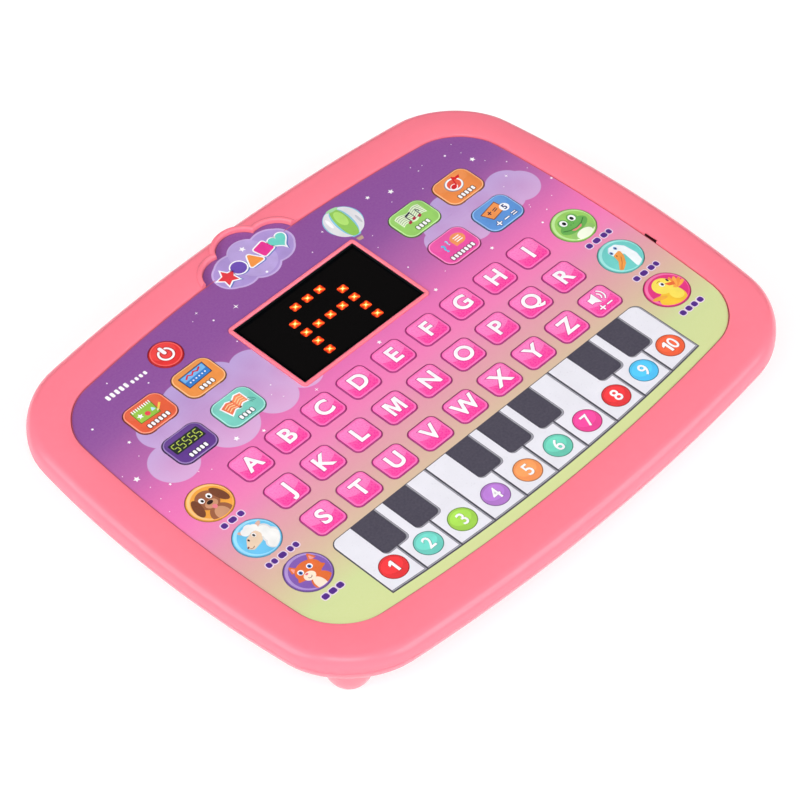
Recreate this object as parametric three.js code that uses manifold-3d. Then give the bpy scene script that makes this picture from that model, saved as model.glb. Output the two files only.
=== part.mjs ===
// Children's learning tablet: two-part moulded casing, printed face film over a membrane
// keyboard, recessed LED matrix display, and a three-cell battery bay in the rear casing.
// Millimetres, +Z up out of the face, origin under the middle of the body at foot level.
import * as THREE from "three";
import { mergeVertices } from "three/addons/utils/BufferGeometryUtils.js";
import Module from "manifold-3d";

const wasm = await Module();
wasm.setup();

// ---------------------------------------------------------------- driving dimensions
const P = 17.5; // pitch of the letter keys, both ways
const FACE_U = 0.03; // the print sits this far (in pitches) to the right of the casing
const FACE_V = 0.664; // letter row J..R to the body's middle, in pitches
const BODY = { A: 122.3, ys: -1.5, Rs: 460, yT: 95.5, Rt: 725, yB: -95.5, Rb: 735, Rc: 25.5 };
const FILM = { A: 106.9, ys: -0.9, Rs: 613, yT: 79.2, Rt: 650, yB: -78.3, Rb: 673, Rc: 17.2 };

const Z_BOTTOM = 4.0; // underside of the rear casing, above the feet
const Z_FLOOR = 6.0; // inside of that underside
const Z_SEAM = 20.5; // parting line
const Z_DECK0 = 21.8; // deck that carries the membrane
const Z_DECK1 = 23.5;
const Z_MEM0 = 23.55; // membrane keyboard
const Z_MEMP = 23.95; // floor of the pockets under the keys
const Z_MEM1 = 24.6;
const Z_FILM0 = 24.7; // printed film
const Z_FILM1 = 25.4;
const Z_KEY0 = 24.95; // embossed key pads
const Z_KEY1 = 25.65;
const Z_CROWN = 26.6; // highest line of the bezel
const Z_RIM = 27.3; // rim round the cloud badge
const Z_LIP = 26.2; // lip round the display
const WALL = 2.2;
const GAP = 0.3; // clearance round each pad

const KEY_W = 13.5, KEY_H = 12.7, KEY_R = 2.7; // letter pads
const MODE_W = 18.0, MODE_H = 14.6, MODE_R = 4.2; // mode pads
const ANIMAL_R = 8.6, POWER_R = 6.5;
const LIP_W = 63.5, LIP_H = 39.8, LIP_T = 1.5, LIP_V = 2.8125;

const BAY = { x0: -32, x1: 32, y0: -45.7, y1: 0, z1: 20.4 }; // battery bay, inside
const BAY_WALL = 1.4;
const CELL_Y = [-7.9, -22.85, -37.8], CELL_Z = 13.05;
const DOOR_SCREW = [38.5, -22.85];
const POSTS = [[-90, -45], [90, -45], [-90, 42], [90, 42]];
const FEET = [[-97.6, -68.6], [97.6, -68.6], [-97.6, 68.6], [97.6, 68.6]];
const SPEAKER = [68, 4], SPEAKER_R = 18;
const PCB = { x: 50, y0: 17.5, y1: 57.5, z0: 13.8, z1: 15.4 };

const X = (u) => P * (u + FACE_U);
const Y = (v) => P * (v - FACE_V);

// ---------------------------------------------------------------- solids and booleans
function solid(g) {
  const c = (g.index ? g.toNonIndexed() : g.clone());
  c.deleteAttribute("normal");
  if (c.getAttribute("uv")) c.deleteAttribute("uv");
  const m = mergeVertices(c, 1e-4);
  return new wasm.Manifold(
    new wasm.Mesh({
      numProp: 3,
      vertProperties: new Float32Array(m.attributes.position.array),
      triVerts: new Uint32Array(m.index.array),
    }),
  );
}
function geometry(s) {
  const m = s.getMesh();
  const pos = new Float32Array(m.numVert * 3);
  for (let i = 0; i < m.numVert; i++)
    pos.set(m.vertProperties.subarray(i * m.numProp, i * m.numProp + 3), i * 3);
  const g = new THREE.BufferGeometry();
  g.setAttribute("position", new THREE.BufferAttribute(pos, 3));
  g.setIndex(new THREE.BufferAttribute(new Uint32Array(m.triVerts), 1));
  g.computeVertexNormals();
  return g;
}
const join = (first, ...rest) => rest.reduce((a, b) => a.add(b), first);
const cut = (first, ...rest) => rest.reduce((a, b) => a.subtract(b), first);

function extrude(shape, z0, z1, segments = 1) {
  const g = new THREE.ExtrudeGeometry(shape, { depth: z1 - z0, bevelEnabled: false, curveSegments: segments });
  g.translate(0, 0, z0);
  return solid(g);
}
function box(x0, x1, y0, y1, z0, z1) {
  const g = new THREE.BoxGeometry(x1 - x0, y1 - y0, z1 - z0);
  g.translate((x0 + x1) / 2, (y0 + y1) / 2, (z0 + z1) / 2);
  return solid(g);
}
function cylinder(x, y, z0, z1, r, n = 20, r2 = r) {
  const g = new THREE.CylinderGeometry(r2, r, z1 - z0, n);
  g.rotateX(Math.PI / 2);
  g.translate(x, y, (z0 + z1) / 2);
  return solid(g);
}
function lathe(x, y, profile, n = 24) {
  const g = new THREE.LatheGeometry(profile.map(([r, z]) => new THREE.Vector2(r, z)), n);
  g.rotateX(Math.PI / 2);
  g.translate(x, y, 0);
  return solid(g);
}
function roundRect(cx, cy, w, h, r) {
  const s = new THREE.Shape();
  const x0 = cx - w / 2, x1 = cx + w / 2, y0 = cy - h / 2, y1 = cy + h / 2;
  s.moveTo(x0 + r, y0);
  s.lineTo(x1 - r, y0);
  s.absarc(x1 - r, y0 + r, r, -Math.PI / 2, 0, false);
  s.lineTo(x1, y1 - r);
  s.absarc(x1 - r, y1 - r, r, 0, Math.PI / 2, false);
  s.lineTo(x0 + r, y1);
  s.absarc(x0 + r, y1 - r, r, Math.PI / 2, Math.PI, false);
  s.lineTo(x0, y0 + r);
  s.absarc(x0 + r, y0 + r, r, Math.PI, 1.5 * Math.PI, false);
  return s;
}
function disc(cx, cy, r, n) {
  const pts = [];
  for (let i = 0; i < n; i++)
    pts.push(new THREE.Vector2(cx + r * Math.cos((2 * Math.PI * i) / n), cy + r * Math.sin((2 * Math.PI * i) / n)));
  return new THREE.Shape(pts);
}
const polygon = (pts) => new THREE.Shape(pts.map(([x, y]) => new THREE.Vector2(x, y)));

// ---------------------------------------------------------------- bowed outlines
// Four shallow arcs with round corners. The distance is negative inside.
function distance(s, x, y) {
  const qx = Math.max(
    Math.hypot(x - (s.A - s.Rs), y - s.ys) - (s.Rs - s.Rc),
    Math.hypot(x + (s.A - s.Rs), y - s.ys) - (s.Rs - s.Rc),
  );
  const qy = Math.max(
    Math.hypot(x, y - (s.yT - s.Rt)) - (s.Rt - s.Rc),
    Math.hypot(x, y - (s.yB + s.Rb)) - (s.Rb - s.Rc),
  );
  return Math.hypot(Math.max(qx, 0), Math.max(qy, 0)) + Math.min(Math.max(qx, qy), 0) - s.Rc;
}
function reach(s, angle, inset) {
  let lo = 0, hi = 200;
  const c = Math.cos(angle), q = Math.sin(angle);
  for (let i = 0; i < 40; i++) {
    const m = (lo + hi) / 2;
    if (distance(s, m * c, m * q) < -inset) lo = m;
    else hi = m;
  }
  return [lo * c, lo * q];
}
const RING = 72;
const ANGLES = (() => {
  // directions shared out by length along the outline and by how fast it turns, so corners get more
  const n = 2000, w = [0];
  const at = (i) => reach(BODY, (2 * Math.PI * i) / n, 6);
  let a = at(-1), b = at(0);
  for (let i = 1; i <= n; i++) {
    const c = at(i);
    let turn = Math.atan2(c[1] - b[1], c[0] - b[0]) - Math.atan2(b[1] - a[1], b[0] - a[0]);
    turn = Math.abs(Math.atan2(Math.sin(turn), Math.cos(turn)));
    w.push(w[i - 1] + Math.hypot(c[0] - b[0], c[1] - b[1]) + 60 * turn);
    a = b;
    b = c;
  }
  const out = [];
  let k = 0;
  for (let j = 0; j < RING; j++) {
    const t = (w[n] * (j + 0.5)) / RING;
    while (w[k + 1] < t) k++;
    out.push((2 * Math.PI * (k + (t - w[k]) / (w[k + 1] - w[k]))) / n);
  }
  return out;
})();
const ring = (s, inset, z) => ANGLES.map((a) => [...reach(s, a, inset), z]);

// A closed solid through rings that share their directions, from the first ring to the last.
function loft(rings) {
  const pos = [], idx = [], n = RING;
  rings.forEach((r) => r.forEach((p) => pos.push(...p)));
  for (let k = 0; k + 1 < rings.length; k++)
    for (let i = 0; i < n; i++) {
      const a = k * n + i, b = k * n + ((i + 1) % n), c = b + n, d = a + n;
      idx.push(a, b, c, a, c, d);
    }
  const cap = (r, base, up) => {
    const faces = THREE.ShapeUtils.triangulateShape(r.map((p) => new THREE.Vector2(p[0], p[1])), []);
    faces.forEach(([a, b, c]) => (up ? idx.push(base + a, base + b, base + c) : idx.push(base + a, base + c, base + b)));
  };
  cap(rings[0], 0, false);
  cap(rings[rings.length - 1], (rings.length - 1) * n, true);
  const g = new THREE.BufferGeometry();
  g.setAttribute("position", new THREE.BufferAttribute(new Float32Array(pos), 3));
  g.setIndex(idx);
  return solid(g);
}

// Cloud-shaped badge: one middle lobe and two side lobes, grown by e.
function badge(e, z0, z1, n = 22) {
  return join(
    extrude(disc(X(-0.03), Y(5.35), 0.575 * P + e, n), z0, z1),
    extrude(disc(X(-0.03 - 0.67), Y(5.03), 0.575 * P + e, n), z0, z1),
    extrude(disc(X(-0.03 + 0.67), Y(5.03), 0.575 * P + e, n), z0, z1),
  );
}

// ---------------------------------------------------------------- key outlines
const LETTERS = "abcdefghijklmnopqrstuvwxyz".split("");
const letterCentre = (i) => [X((i % 9) - 4), Y(1 - Math.floor(i / 9))];
const DIVIDER = (i) => X(0.02 + (i - 5) * 0.885); // line between piano keys i and i + 1
const BLACK_AFTER = new Set([1, 2, 4, 5, 6, 8, 9]);
const PIANO_TOP = Y(-1.56), BLACK_END = Y(-2.52), BLACK_HALF = 0.305 * P;
const pianoBottom = (x) => Y(-3.52) + 0.0119 * P * Math.pow((x - X(0.02)) / P, 2);
function pianoKey(i, e) {
  const x0 = DIVIDER(i - 1) + e, x1 = DIVIDER(i) - e;
  const top = PIANO_TOP - e, notch = BLACK_END - e, half = BLACK_HALF + e;
  const pts = [[x0, pianoBottom(x0) + e], [x1, pianoBottom(x1) + e]];
  if (BLACK_AFTER.has(i)) pts.push([x1, notch], [DIVIDER(i) - half, notch], [DIVIDER(i) - half, top]);
  else if (i === 10) {
    const r = 3.5 - e;
    for (let k = 0; k <= 4; k++) {
      const a = (Math.PI / 8) * k;
      pts.push([x1 - r + r * Math.cos(a), top - r + r * Math.sin(a)]);
    }
  } else pts.push([x1, top]);
  if (BLACK_AFTER.has(i - 1)) pts.push([DIVIDER(i - 1) + half, top], [DIVIDER(i - 1) + half, notch], [x0, notch]);
  else if (i === 1) {
    const r = 3.5 - e;
    for (let k = 0; k <= 4; k++) {
      const a = Math.PI / 2 + (Math.PI / 8) * k;
      pts.push([x0 + r + r * Math.cos(a), top - r + r * Math.sin(a)]);
    }
  } else pts.push([x0, top]);
  return polygon(pts);
}
function modeKeys(side, e, z0, z1) {
  const us = side < 0 ? [-4.455, -3.13] : [3.11, 4.43], vs = [3.42, 2.27];
  const parts = [];
  for (const u of us) for (const v of vs) parts.push(extrude(roundRect(X(u), Y(v), MODE_W + 2 * e, MODE_H + 2 * e, MODE_R + e), z0, z1));
  for (const u of us) parts.push(box(X(u) - 3.5 - e, X(u) + 3.5 + e, Y(vs[1]), Y(vs[0]), z0, z1));
  const vm = (vs[0] + vs[1]) / 2;
  parts.push(box(X(us[0]), X(us[1]), Y(vm) - 1.8 - e, Y(vm) + 1.8 + e, z0, z1));
  return join(...parts);
}
function animalKeys(side, e, z0, z1) {
  const at = side < 0 ? [[-5.25, 0.87], [-5.24, -0.435], [-5.155, -1.755]] : [[5.25, 0.87], [5.255, -0.45], [5.185, -1.78]];
  const parts = at.map(([u, v]) => extrude(disc(X(u), Y(v), ANIMAL_R + e, 20), z0, z1));
  for (let k = 0; k < 2; k++) {
    const [a, b] = [at[k], at[k + 1]];
    const w = 2.2 + e;
    parts.push(extrude(polygon([[X(b[0]) - w, Y(b[1])], [X(b[0]) + w, Y(b[1])], [X(a[0]) + w, Y(a[1])], [X(a[0]) - w, Y(a[1])]]), z0, z1));
  }
  return join(...parts);
}
// Every pad, as a function of how far it is grown and of its two heights.
const PADS = new Map();
LETTERS.forEach((l, i) => {
  const [x, y] = letterCentre(i);
  PADS.set("key_" + l, (e, z0, z1) => extrude(roundRect(x, y, KEY_W + 2 * e, KEY_H + 2 * e, KEY_R + e), z0, z1));
});
PADS.set("key_volume", (e, z0, z1) => extrude(roundRect(X(4), Y(-1), KEY_W + 2 * e, KEY_H + 2 * e, KEY_R + e), z0, z1));
for (let i = 1; i <= 10; i++) PADS.set("piano_key_" + i, (e, z0, z1) => extrude(pianoKey(i, 0.6 - e), z0, z1));
PADS.set("power_key", (e, z0, z1) => extrude(disc(X(-3.14), Y(4.37), POWER_R + e, 20), z0, z1));
PADS.set("mode_keys_left", (e, z0, z1) => modeKeys(-1, e, z0, z1));
PADS.set("mode_keys_right", (e, z0, z1) => modeKeys(1, e, z0, z1));
PADS.set("animal_keys_left", (e, z0, z1) => animalKeys(-1, e, z0, z1));
PADS.set("animal_keys_right", (e, z0, z1) => animalKeys(1, e, z0, z1));

// ---------------------------------------------------------------- casing
const lipShape = (grow) => roundRect(0, Y(LIP_V), LIP_W + 2 * grow, LIP_H + 2 * grow, 1.6 + grow);

function frontCasing() {
  const R = 5.0, zc = 21.3;
  const outer = [ring(BODY, 0, Z_SEAM)];
  for (let k = 0; k <= 4; k++) {
    const a = (Math.PI / 8) * k;
    outer.push(ring(BODY, R - R * Math.cos(a), zc + R * Math.sin(a)));
  }
  outer.push(ring(BODY, 10.5, Z_CROWN), ring(FILM, -0.7, 26.2), ring(FILM, 0, 25.75), ring(FILM, 0, Z_DECK1));
  const hollow = cut(
    loft([ring(BODY, WALL, Z_SEAM - 1), ring(BODY, WALL + 0.2, 22.2), ring(BODY, 6.2, 24.3), ring(BODY, 12.5, 24.4), ring(FILM, -1.8, 24.4), ring(FILM, -1.8, Z_DECK0)]),
    badge(1.6, Z_DECK0, 30),
  );
  let s = join(loft(outer), badge(2.1, 22.5, Z_RIM - 0.5), badge(1.6, 22.5, Z_RIM));
  s = cut(s, hollow, badge(0, Z_DECK1, 40), loft([ring(FILM, 0, Z_DECK1), ring(FILM, 0, 40)]));
  const lip = cut(extrude(lipShape(0), Z_DECK0 + 0.2, Z_LIP), extrude(roundRect(0, Y(LIP_V), LIP_W - 2 * LIP_T, LIP_H - 2 * LIP_T, 0.6), Z_DECK1, 40));
  s = cut(join(s, lip), box(-28.6, 28.6, Y(LIP_V) - 16.6, Y(LIP_V) + 16.6, 10, 40), box(-59.5, -44.5, 12.9, 15.6, 15, 40), box(106.3, 107.8, -24.4, -18.4, 21, 40)); // display, membrane tail, moulding slot beside the film
  for (const [x, y] of POSTS) s = cut(s.add(cylinder(x, y, 12.0, Z_DECK0 + 0.5, 3.6, 12)), cylinder(x, y, 11, 19.6, 1.5, 10));
  return s;
}

function rearCasing() {
  const hull = loft([
    ring(BODY, 20.5, Z_BOTTOM), ring(BODY, 17.2, Z_BOTTOM + 0.7), ring(BODY, 10, 9.7), ring(BODY, 2.77, 15.0),
    ring(BODY, 0.9, 17.3), ring(BODY, 0.1, 19.6), ring(BODY, 0, Z_SEAM - 0.05),
  ]);
  const foot = [[0, 0], [5.2, 0], [7.0, 1.0], [9.4, 7], [10.6, 12], [0, 12]];
  let s = join(hull, ...FEET.map(([x, y]) => lathe(x, y, foot, 14)));
  const cavity = loft([
    ring(BODY, 22, Z_FLOOR), ring(BODY, 18.6, 6.6), ring(BODY, 11.4, 11.4), ring(BODY, 4.7, 16.3),
    ring(BODY, 3.0, 18.2), ring(BODY, WALL + 0.1, 20.0), ring(BODY, WALL, Z_SEAM + 2),
  ]);
  s = s.subtract(cavity);
  const [dx, dy] = DOOR_SCREW;
  s = join(
    s,
    box(BAY.x0 - BAY_WALL, BAY.x1 + BAY_WALL, BAY.y0 - BAY_WALL, BAY.y1 + BAY_WALL, Z_BOTTOM + 0.5, BAY.z1 + 1.1),
    cylinder(dx, dy, Z_BOTTOM + 0.5, 13, 4.2, 12),
    box(BAY.x1, dx, dy - 4.2, dy + 4.2, Z_BOTTOM + 0.5, 9.5),
    ...POSTS.map(([x, y]) => cylinder(x, y, Z_BOTTOM + 0.5, 11.9, 4.6, 12)),
    ...[[-46, 21.5], [46, 21.5], [-46, 53.5], [46, 53.5]].map(([x, y]) => cylinder(x, y, Z_BOTTOM + 1, PCB.z0 - 0.1, 2.6, 8)),
    cut(cylinder(SPEAKER[0], SPEAKER[1], Z_BOTTOM + 1, 8.6, SPEAKER_R + 2, 24), cylinder(SPEAKER[0], SPEAKER[1], Z_FLOOR, 20, SPEAKER_R + 0.7, 24)),
  );
  // bay, seat for the door and its screw tab, screw bores, sound slots
  s = cut(
    s,
    box(BAY.x0, BAY.x1, BAY.y0, BAY.y1, 0, BAY.z1),
    extrude(doorShape(0.35), 0, 5.85),
    cylinder(dx, dy, 0, 12, 1.35, 10),
    ...POSTS.map(([x, y]) => cylinder(x, y, 0, 9.0, 3.1, 12)),
    ...POSTS.map(([x, y]) => cylinder(x, y, 0, 14, 1.6, 8)),
    ...[-10, -5, 0, 5, 10].map((o) => extrude(roundRect(SPEAKER[0], SPEAKER[1] + o, 2 * Math.sqrt(16.5 * 16.5 - o * o) - 4, 2.2, 1.05), 0, 8)),
  );
  return s;
}

// Door outline with the screw tab on its right-hand side.
function doorShape(e) {
  const [dx, dy] = DOOR_SCREW;
  const x0 = BAY.x0 - 0.9 - e, x1 = BAY.x1 + 0.9 + e, y0 = BAY.y0 - 0.9 - e, y1 = BAY.y1 + 0.9 + e;
  const s = new THREE.Shape(), r = 2 + e, t = 6 + e;
  s.moveTo(x0 + r, y0);
  s.lineTo(x1 - r, y0);
  s.absarc(x1 - r, y0 + r, r, -Math.PI / 2, 0, false);
  s.lineTo(x1, dy - t);
  s.lineTo(dx, dy - t);
  s.absarc(dx, dy, t, -Math.PI / 2, Math.PI / 2, false);
  s.lineTo(x1, dy + t);
  s.lineTo(x1, y1 - r);
  s.absarc(x1 - r, y1 - r, r, 0, Math.PI / 2, false);
  s.lineTo(x0 + r, y1);
  s.absarc(x0 + r, y1 - r, r, Math.PI / 2, Math.PI, false);
  s.lineTo(x0, y0 + r);
  s.absarc(x0 + r, y0 + r, r, Math.PI, 1.5 * Math.PI, false);
  return s;
}
function batteryDoor() {
  const [dx, dy] = DOOR_SCREW;
  let s = extrude(doorShape(0), Z_BOTTOM, 5.6);
  for (let k = 0; k < 5; k++) s = s.subtract(box(-24 + k * 2.4, -22.8 + k * 2.4, dy - 9, dy + 9, 0, Z_BOTTOM + 0.5));
  return cut(s, cylinder(dx, dy, 0, Z_BOTTOM + 0.95, 3.0, 24), cylinder(dx, dy, 0, 10, 1.4, 16));
}

// Pan-head screw, head down, with a cross recess.
function screw(x, y, zHead, headR, headH, shaftR, length) {
  const s = lathe(x, y, [[0, zHead], [headR - 0.4, zHead], [headR, zHead + 0.45], [headR, zHead + headH], [shaftR, zHead + headH], [shaftR, zHead + length - 1], [0.35, zHead + length], [0, zHead + length]], 10);
  return cut(s, box(x - headR * 0.62, x + headR * 0.62, y - 0.35, y + 0.35, zHead - 1, zHead + 0.5), box(x - 0.35, x + 0.35, y - headR * 0.62, y + headR * 0.62, zHead - 1, zHead + 0.5));
}

// ---------------------------------------------------------------- face layers
function filmOutline(e, z0, z1) {
  return join(loft([ring(FILM, e, z0), ring(FILM, e, z1)]), badge(-e, z0, z1));
}
function graphicOverlay() {
  let s = filmOutline(0.25, Z_FILM0, Z_FILM1);
  s = s.subtract(extrude(lipShape(0.3), 0, 40));
  for (const pad of PADS.values()) s = s.subtract(pad(GAP, 20, 30));
  return s;
}
function membraneCircuit() {
  let s = loft([ring(FILM, 1.0, Z_MEM0), ring(FILM, 1.0, Z_MEM1)]);
  // plain pockets that give each pad room to travel
  for (const [name, pad] of PADS) {
    const b = pad(GAP, Z_MEMP, 30).boundingBox();
    if (name.startsWith("animal")) s = s.subtract(pad(GAP + 0.1, Z_MEMP, 30));
    else if (name.startsWith("piano")) continue;
    else s = s.subtract(box(b.min[0], b.max[0], b.min[1], b.max[1], Z_MEMP, 30));
  }
  const foot = [[DIVIDER(0), pianoBottom(DIVIDER(0))], [DIVIDER(2.5), pianoBottom(DIVIDER(2.5))], [DIVIDER(5), pianoBottom(DIVIDER(5))], [DIVIDER(7.5), pianoBottom(DIVIDER(7.5))], [DIVIDER(10), pianoBottom(DIVIDER(10))]];
  s = s.subtract(extrude(polygon([...foot.map(([x, y]) => [x, y - 0.1]), [DIVIDER(10), PIANO_TOP], [DIVIDER(0), PIANO_TOP]]), Z_MEMP, 30));
  s = s.subtract(extrude(lipShape(0.6), 0, 40));
  // tail, down through the slot in the deck and onto the circuit board
  return join(s, box(-58, -46, 13.9, 14.3, 16.4, Z_MEM0 + 0.3), box(-58, -46, 13.9, 25, 16.0, 16.4));
}
function ledMatrix() {
  const yc = Y(LIP_V);
  let s = box(-27.5, 27.5, yc - 15.8, yc + 15.8, PCB.z1 + 0.1, 22.8);
  // five rows of light wells stand a little proud of the block
  for (let j = -2; j <= 2; j++) s = s.add(box(-4 * 6.04 - 1.9, 4 * 6.04 + 1.9, yc + j * 5.85 - 1.65, yc + j * 5.85 + 1.65, 22.5, 23.3));
  return s;
}
function mainBoard() {
  const s = box(-PCB.x, PCB.x, PCB.y0, PCB.y1, PCB.z0, PCB.z1);
  return join(
    s,
    box(34, 44, 42, 52, PCB.z1 - 0.2, PCB.z1 + 1.6), // controller
    cylinder(38, 28, PCB.z1 - 0.2, PCB.z1 + 4.2, 2.5, 16), // capacitor
    box(-48, -34, 32, 38, PCB.z1 - 0.2, PCB.z1 + 1.2), // tail connector
  );
}
function speaker() {
  return lathe(SPEAKER[0], SPEAKER[1], [[0, 8.6], [5, 7.9], [15, 6.5], [SPEAKER_R, 6.3], [SPEAKER_R, 7.6], [16, 7.8], [11, 10.4], [11, 15], [0, 15]], 24);
}

// Conical coil against a plate, along +X or -X.
function coil(x, y, dir) {
  const turns = 3.5, length = 6.0, n = 34;
  const pts = [];
  for (let i = 0; i <= n; i++) {
    const t = i / n, a = 2 * Math.PI * turns * t, r = 4.3 - 1.9 * t;
    pts.push(new THREE.Vector3(x + dir * (0.15 + (length - 0.5) * t), y + r * Math.cos(a), CELL_Z + r * Math.sin(a)));
  }
  const path = new THREE.CatmullRomCurve3(pts);
  const section = new THREE.Shape();
  for (let k = 0; k < 4; k++) {
    const a = (Math.PI / 2) * k;
    if (k) section.lineTo(0.4 * Math.cos(a), 0.4 * Math.sin(a));
    else section.moveTo(0.4, 0);
  }
  return solid(new THREE.ExtrudeGeometry(section, { steps: 30, bevelEnabled: false, extrudePath: path }));
}
function contact(side, cells, springAt, bumpAt) {
  const x0 = side < 0 ? BAY.x0 + 0.1 : BAY.x1 - 0.5, x1 = x0 + 0.4, face = side < 0 ? x1 : x0;
  const ys = cells.map((c) => CELL_Y[c]);
  let s = box(x0, x1, Math.min(...ys) - 5, Math.max(...ys) + 5, CELL_Z - 5, CELL_Z + 5);
  if (springAt !== null) s = s.add(coil(face, CELL_Y[springAt], -side));
  if (bumpAt !== null) {
    const g = new THREE.CylinderGeometry(1.6, 2.6, 1.2, 16);
    g.rotateZ(side * Math.PI / 2);
    g.translate(face - side * 0.5, CELL_Y[bumpAt], CELL_Z);
    s = s.add(solid(g));
  }
  return s;
}

// ---------------------------------------------------------------- assembly
const MATERIALS = {
  shell: { color: 0xff8496, roughness: 0.32, metalness: 0 },
  film: { color: 0xc45aa8, roughness: 0.25, metalness: 0 },
  key: { color: 0xff4fa4, roughness: 0.25, metalness: 0 },
  ivory: { color: 0xe8e6ee, roughness: 0.28, metalness: 0 },
  red: { color: 0xe53a3a, roughness: 0.25, metalness: 0 },
  mode: { color: 0xe98a4a, roughness: 0.25, metalness: 0 },
  animal: { color: 0x6fc3d8, roughness: 0.25, metalness: 0 },
  window: { color: 0x101012, roughness: 0.1, metalness: 0 },
  black: { color: 0x17171a, roughness: 0.6, metalness: 0 },
  board: { color: 0x1f6b3a, roughness: 0.5, metalness: 0 },
  sheet: { color: 0xbfc8c4, roughness: 0.4, metalness: 0 },
  steel: { color: 0xb8bcc2, roughness: 0.35, metalness: 1 },
};
const tablet = new THREE.Group();
tablet.name = "learning_tablet";
const casing = new THREE.Group(), face = new THREE.Group(), inside = new THREE.Group(), fasteners = new THREE.Group();
tablet.add(casing, face, inside, fasteners);
const materialOf = new Map();
function add(group, name, s, finish) {
  if (!materialOf.has(finish)) materialOf.set(finish, new THREE.MeshStandardMaterial(MATERIALS[finish]));
  const mesh = new THREE.Mesh(geometry(s), materialOf.get(finish));
  mesh.name = name;
  group.add(mesh);
}

add(casing, "front_casing", frontCasing(), "shell");
add(casing, "rear_casing", rearCasing(), "shell");
add(casing, "battery_door", batteryDoor(), "shell");
add(face, "graphic_overlay", graphicOverlay(), "film");
add(face, "membrane_circuit", membraneCircuit(), "sheet");
add(face, "display_window", box(-30.05, 30.05, Y(LIP_V) - 18.2, Y(LIP_V) + 18.2, Z_DECK1 + 0.1, 24.6), "window");
add(inside, "led_matrix", ledMatrix(), "black");
add(inside, "main_board", mainBoard(), "board");
add(inside, "speaker", speaker(), "black");
add(inside, "battery_contact_positive", contact(1, [0], null, 0), "steel");
add(inside, "battery_contact_negative", contact(-1, [2], 2, null), "steel");
add(inside, "battery_link_left", contact(-1, [0, 1], 0, 1), "steel");
add(inside, "battery_link_right", contact(1, [1, 2], 1, 2), "steel");
POSTS.forEach(([x, y], i) => add(fasteners, "casing_screw_" + (i + 1), screw(x, y, 7.5, 2.7, 1.4, 1.2, 11), "steel"));
add(fasteners, "battery_door_screw", screw(DOOR_SCREW[0], DOOR_SCREW[1], Z_BOTTOM + 0.05, 2.6, 0.85, 1.0, 7), "steel");
for (const [name, pad] of PADS) {
  const finish = name.startsWith("piano") ? "ivory" : name === "power_key" ? "red" : name.startsWith("mode") ? "mode" : name.startsWith("animal") ? "animal" : "key";
  add(face, name, pad(0, Z_KEY0, Z_KEY1), finish);
}

export default tablet;
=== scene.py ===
import bpy, bmesh, math
import numpy as np
from mathutils import Vector, Matrix
from mathutils.geometry import tessellate_polygon


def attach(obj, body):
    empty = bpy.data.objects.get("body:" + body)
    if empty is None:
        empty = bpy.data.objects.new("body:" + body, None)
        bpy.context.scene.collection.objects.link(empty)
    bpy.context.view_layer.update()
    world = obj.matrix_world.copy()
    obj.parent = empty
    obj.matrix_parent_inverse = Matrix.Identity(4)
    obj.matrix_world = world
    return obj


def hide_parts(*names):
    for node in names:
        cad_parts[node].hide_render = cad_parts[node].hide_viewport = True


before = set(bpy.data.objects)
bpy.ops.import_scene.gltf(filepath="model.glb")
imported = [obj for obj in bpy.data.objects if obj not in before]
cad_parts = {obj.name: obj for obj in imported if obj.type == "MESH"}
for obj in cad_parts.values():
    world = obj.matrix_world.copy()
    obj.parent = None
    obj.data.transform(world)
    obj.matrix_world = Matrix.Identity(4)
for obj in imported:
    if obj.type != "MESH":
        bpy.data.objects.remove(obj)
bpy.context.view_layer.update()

# ------------------------------------------------------------------ dimensions (mm), as in the CAD source
P = 17.5
BODY = dict(A=122.3, ys=-1.5, Rs=460, yT=95.5, Rt=725, yB=-95.5, Rb=735, Rc=25.5)
FILM = dict(A=106.9, ys=-0.9, Rs=613, yT=79.2, Rt=650, yB=-78.3, Rb=673, Rc=17.2)
Z_BOTTOM, Z_FLOOR, Z_SEAM = 4.0, 6.0, 20.5
Z_DECK0, Z_DECK1 = 21.8, 23.5
Z_FILM0, Z_FILM1, Z_KEY0, Z_KEY1 = 24.7, 25.4, 24.95, 25.65
Z_CROWN, Z_RIM, Z_LIP, WALL = 26.6, 27.3, 26.2, 2.2
KEY_W, KEY_H, KEY_R = 13.5, 12.7, 2.7
MODE_W, MODE_H, MODE_R = 18.0, 14.6, 4.2
ANIMAL_R, POWER_R = 8.6, 6.5
LIP_W, LIP_H, LIP_T, LIP_V = 63.5, 39.8, 1.5, 2.8125
BAY = dict(x0=-32, x1=32, y0=-45.7, y1=0, z1=20.4)
BAY_WALL = 1.4
DOOR_SCREW = (38.5, -22.85)
POSTS = [(-90, -45), (90, -45), (-90, 42), (90, 42)]
FEET = [(-97.6, -68.6), (97.6, -68.6), (-97.6, 68.6), (97.6, 68.6)]
SPEAKER, SPEAKER_R = (68, 4), 18
PCB = dict(x=50, y0=17.5, y1=57.5, z0=13.8, z1=15.4)
SLIT = 0.14  # gap drawn round each pad


def X(u):
    return P * (u + 0.03)


def Y(v):
    return P * (v - 0.664)


# ------------------------------------------------------------------ colours and materials
def lin(c):
    return tuple((x / 255 / 12.92 if x / 255 <= 0.04045 else ((x / 255 + 0.055) / 1.055) ** 2.4) for x in c)


def rgba(c):
    return (*lin(c), 1.0)


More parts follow.
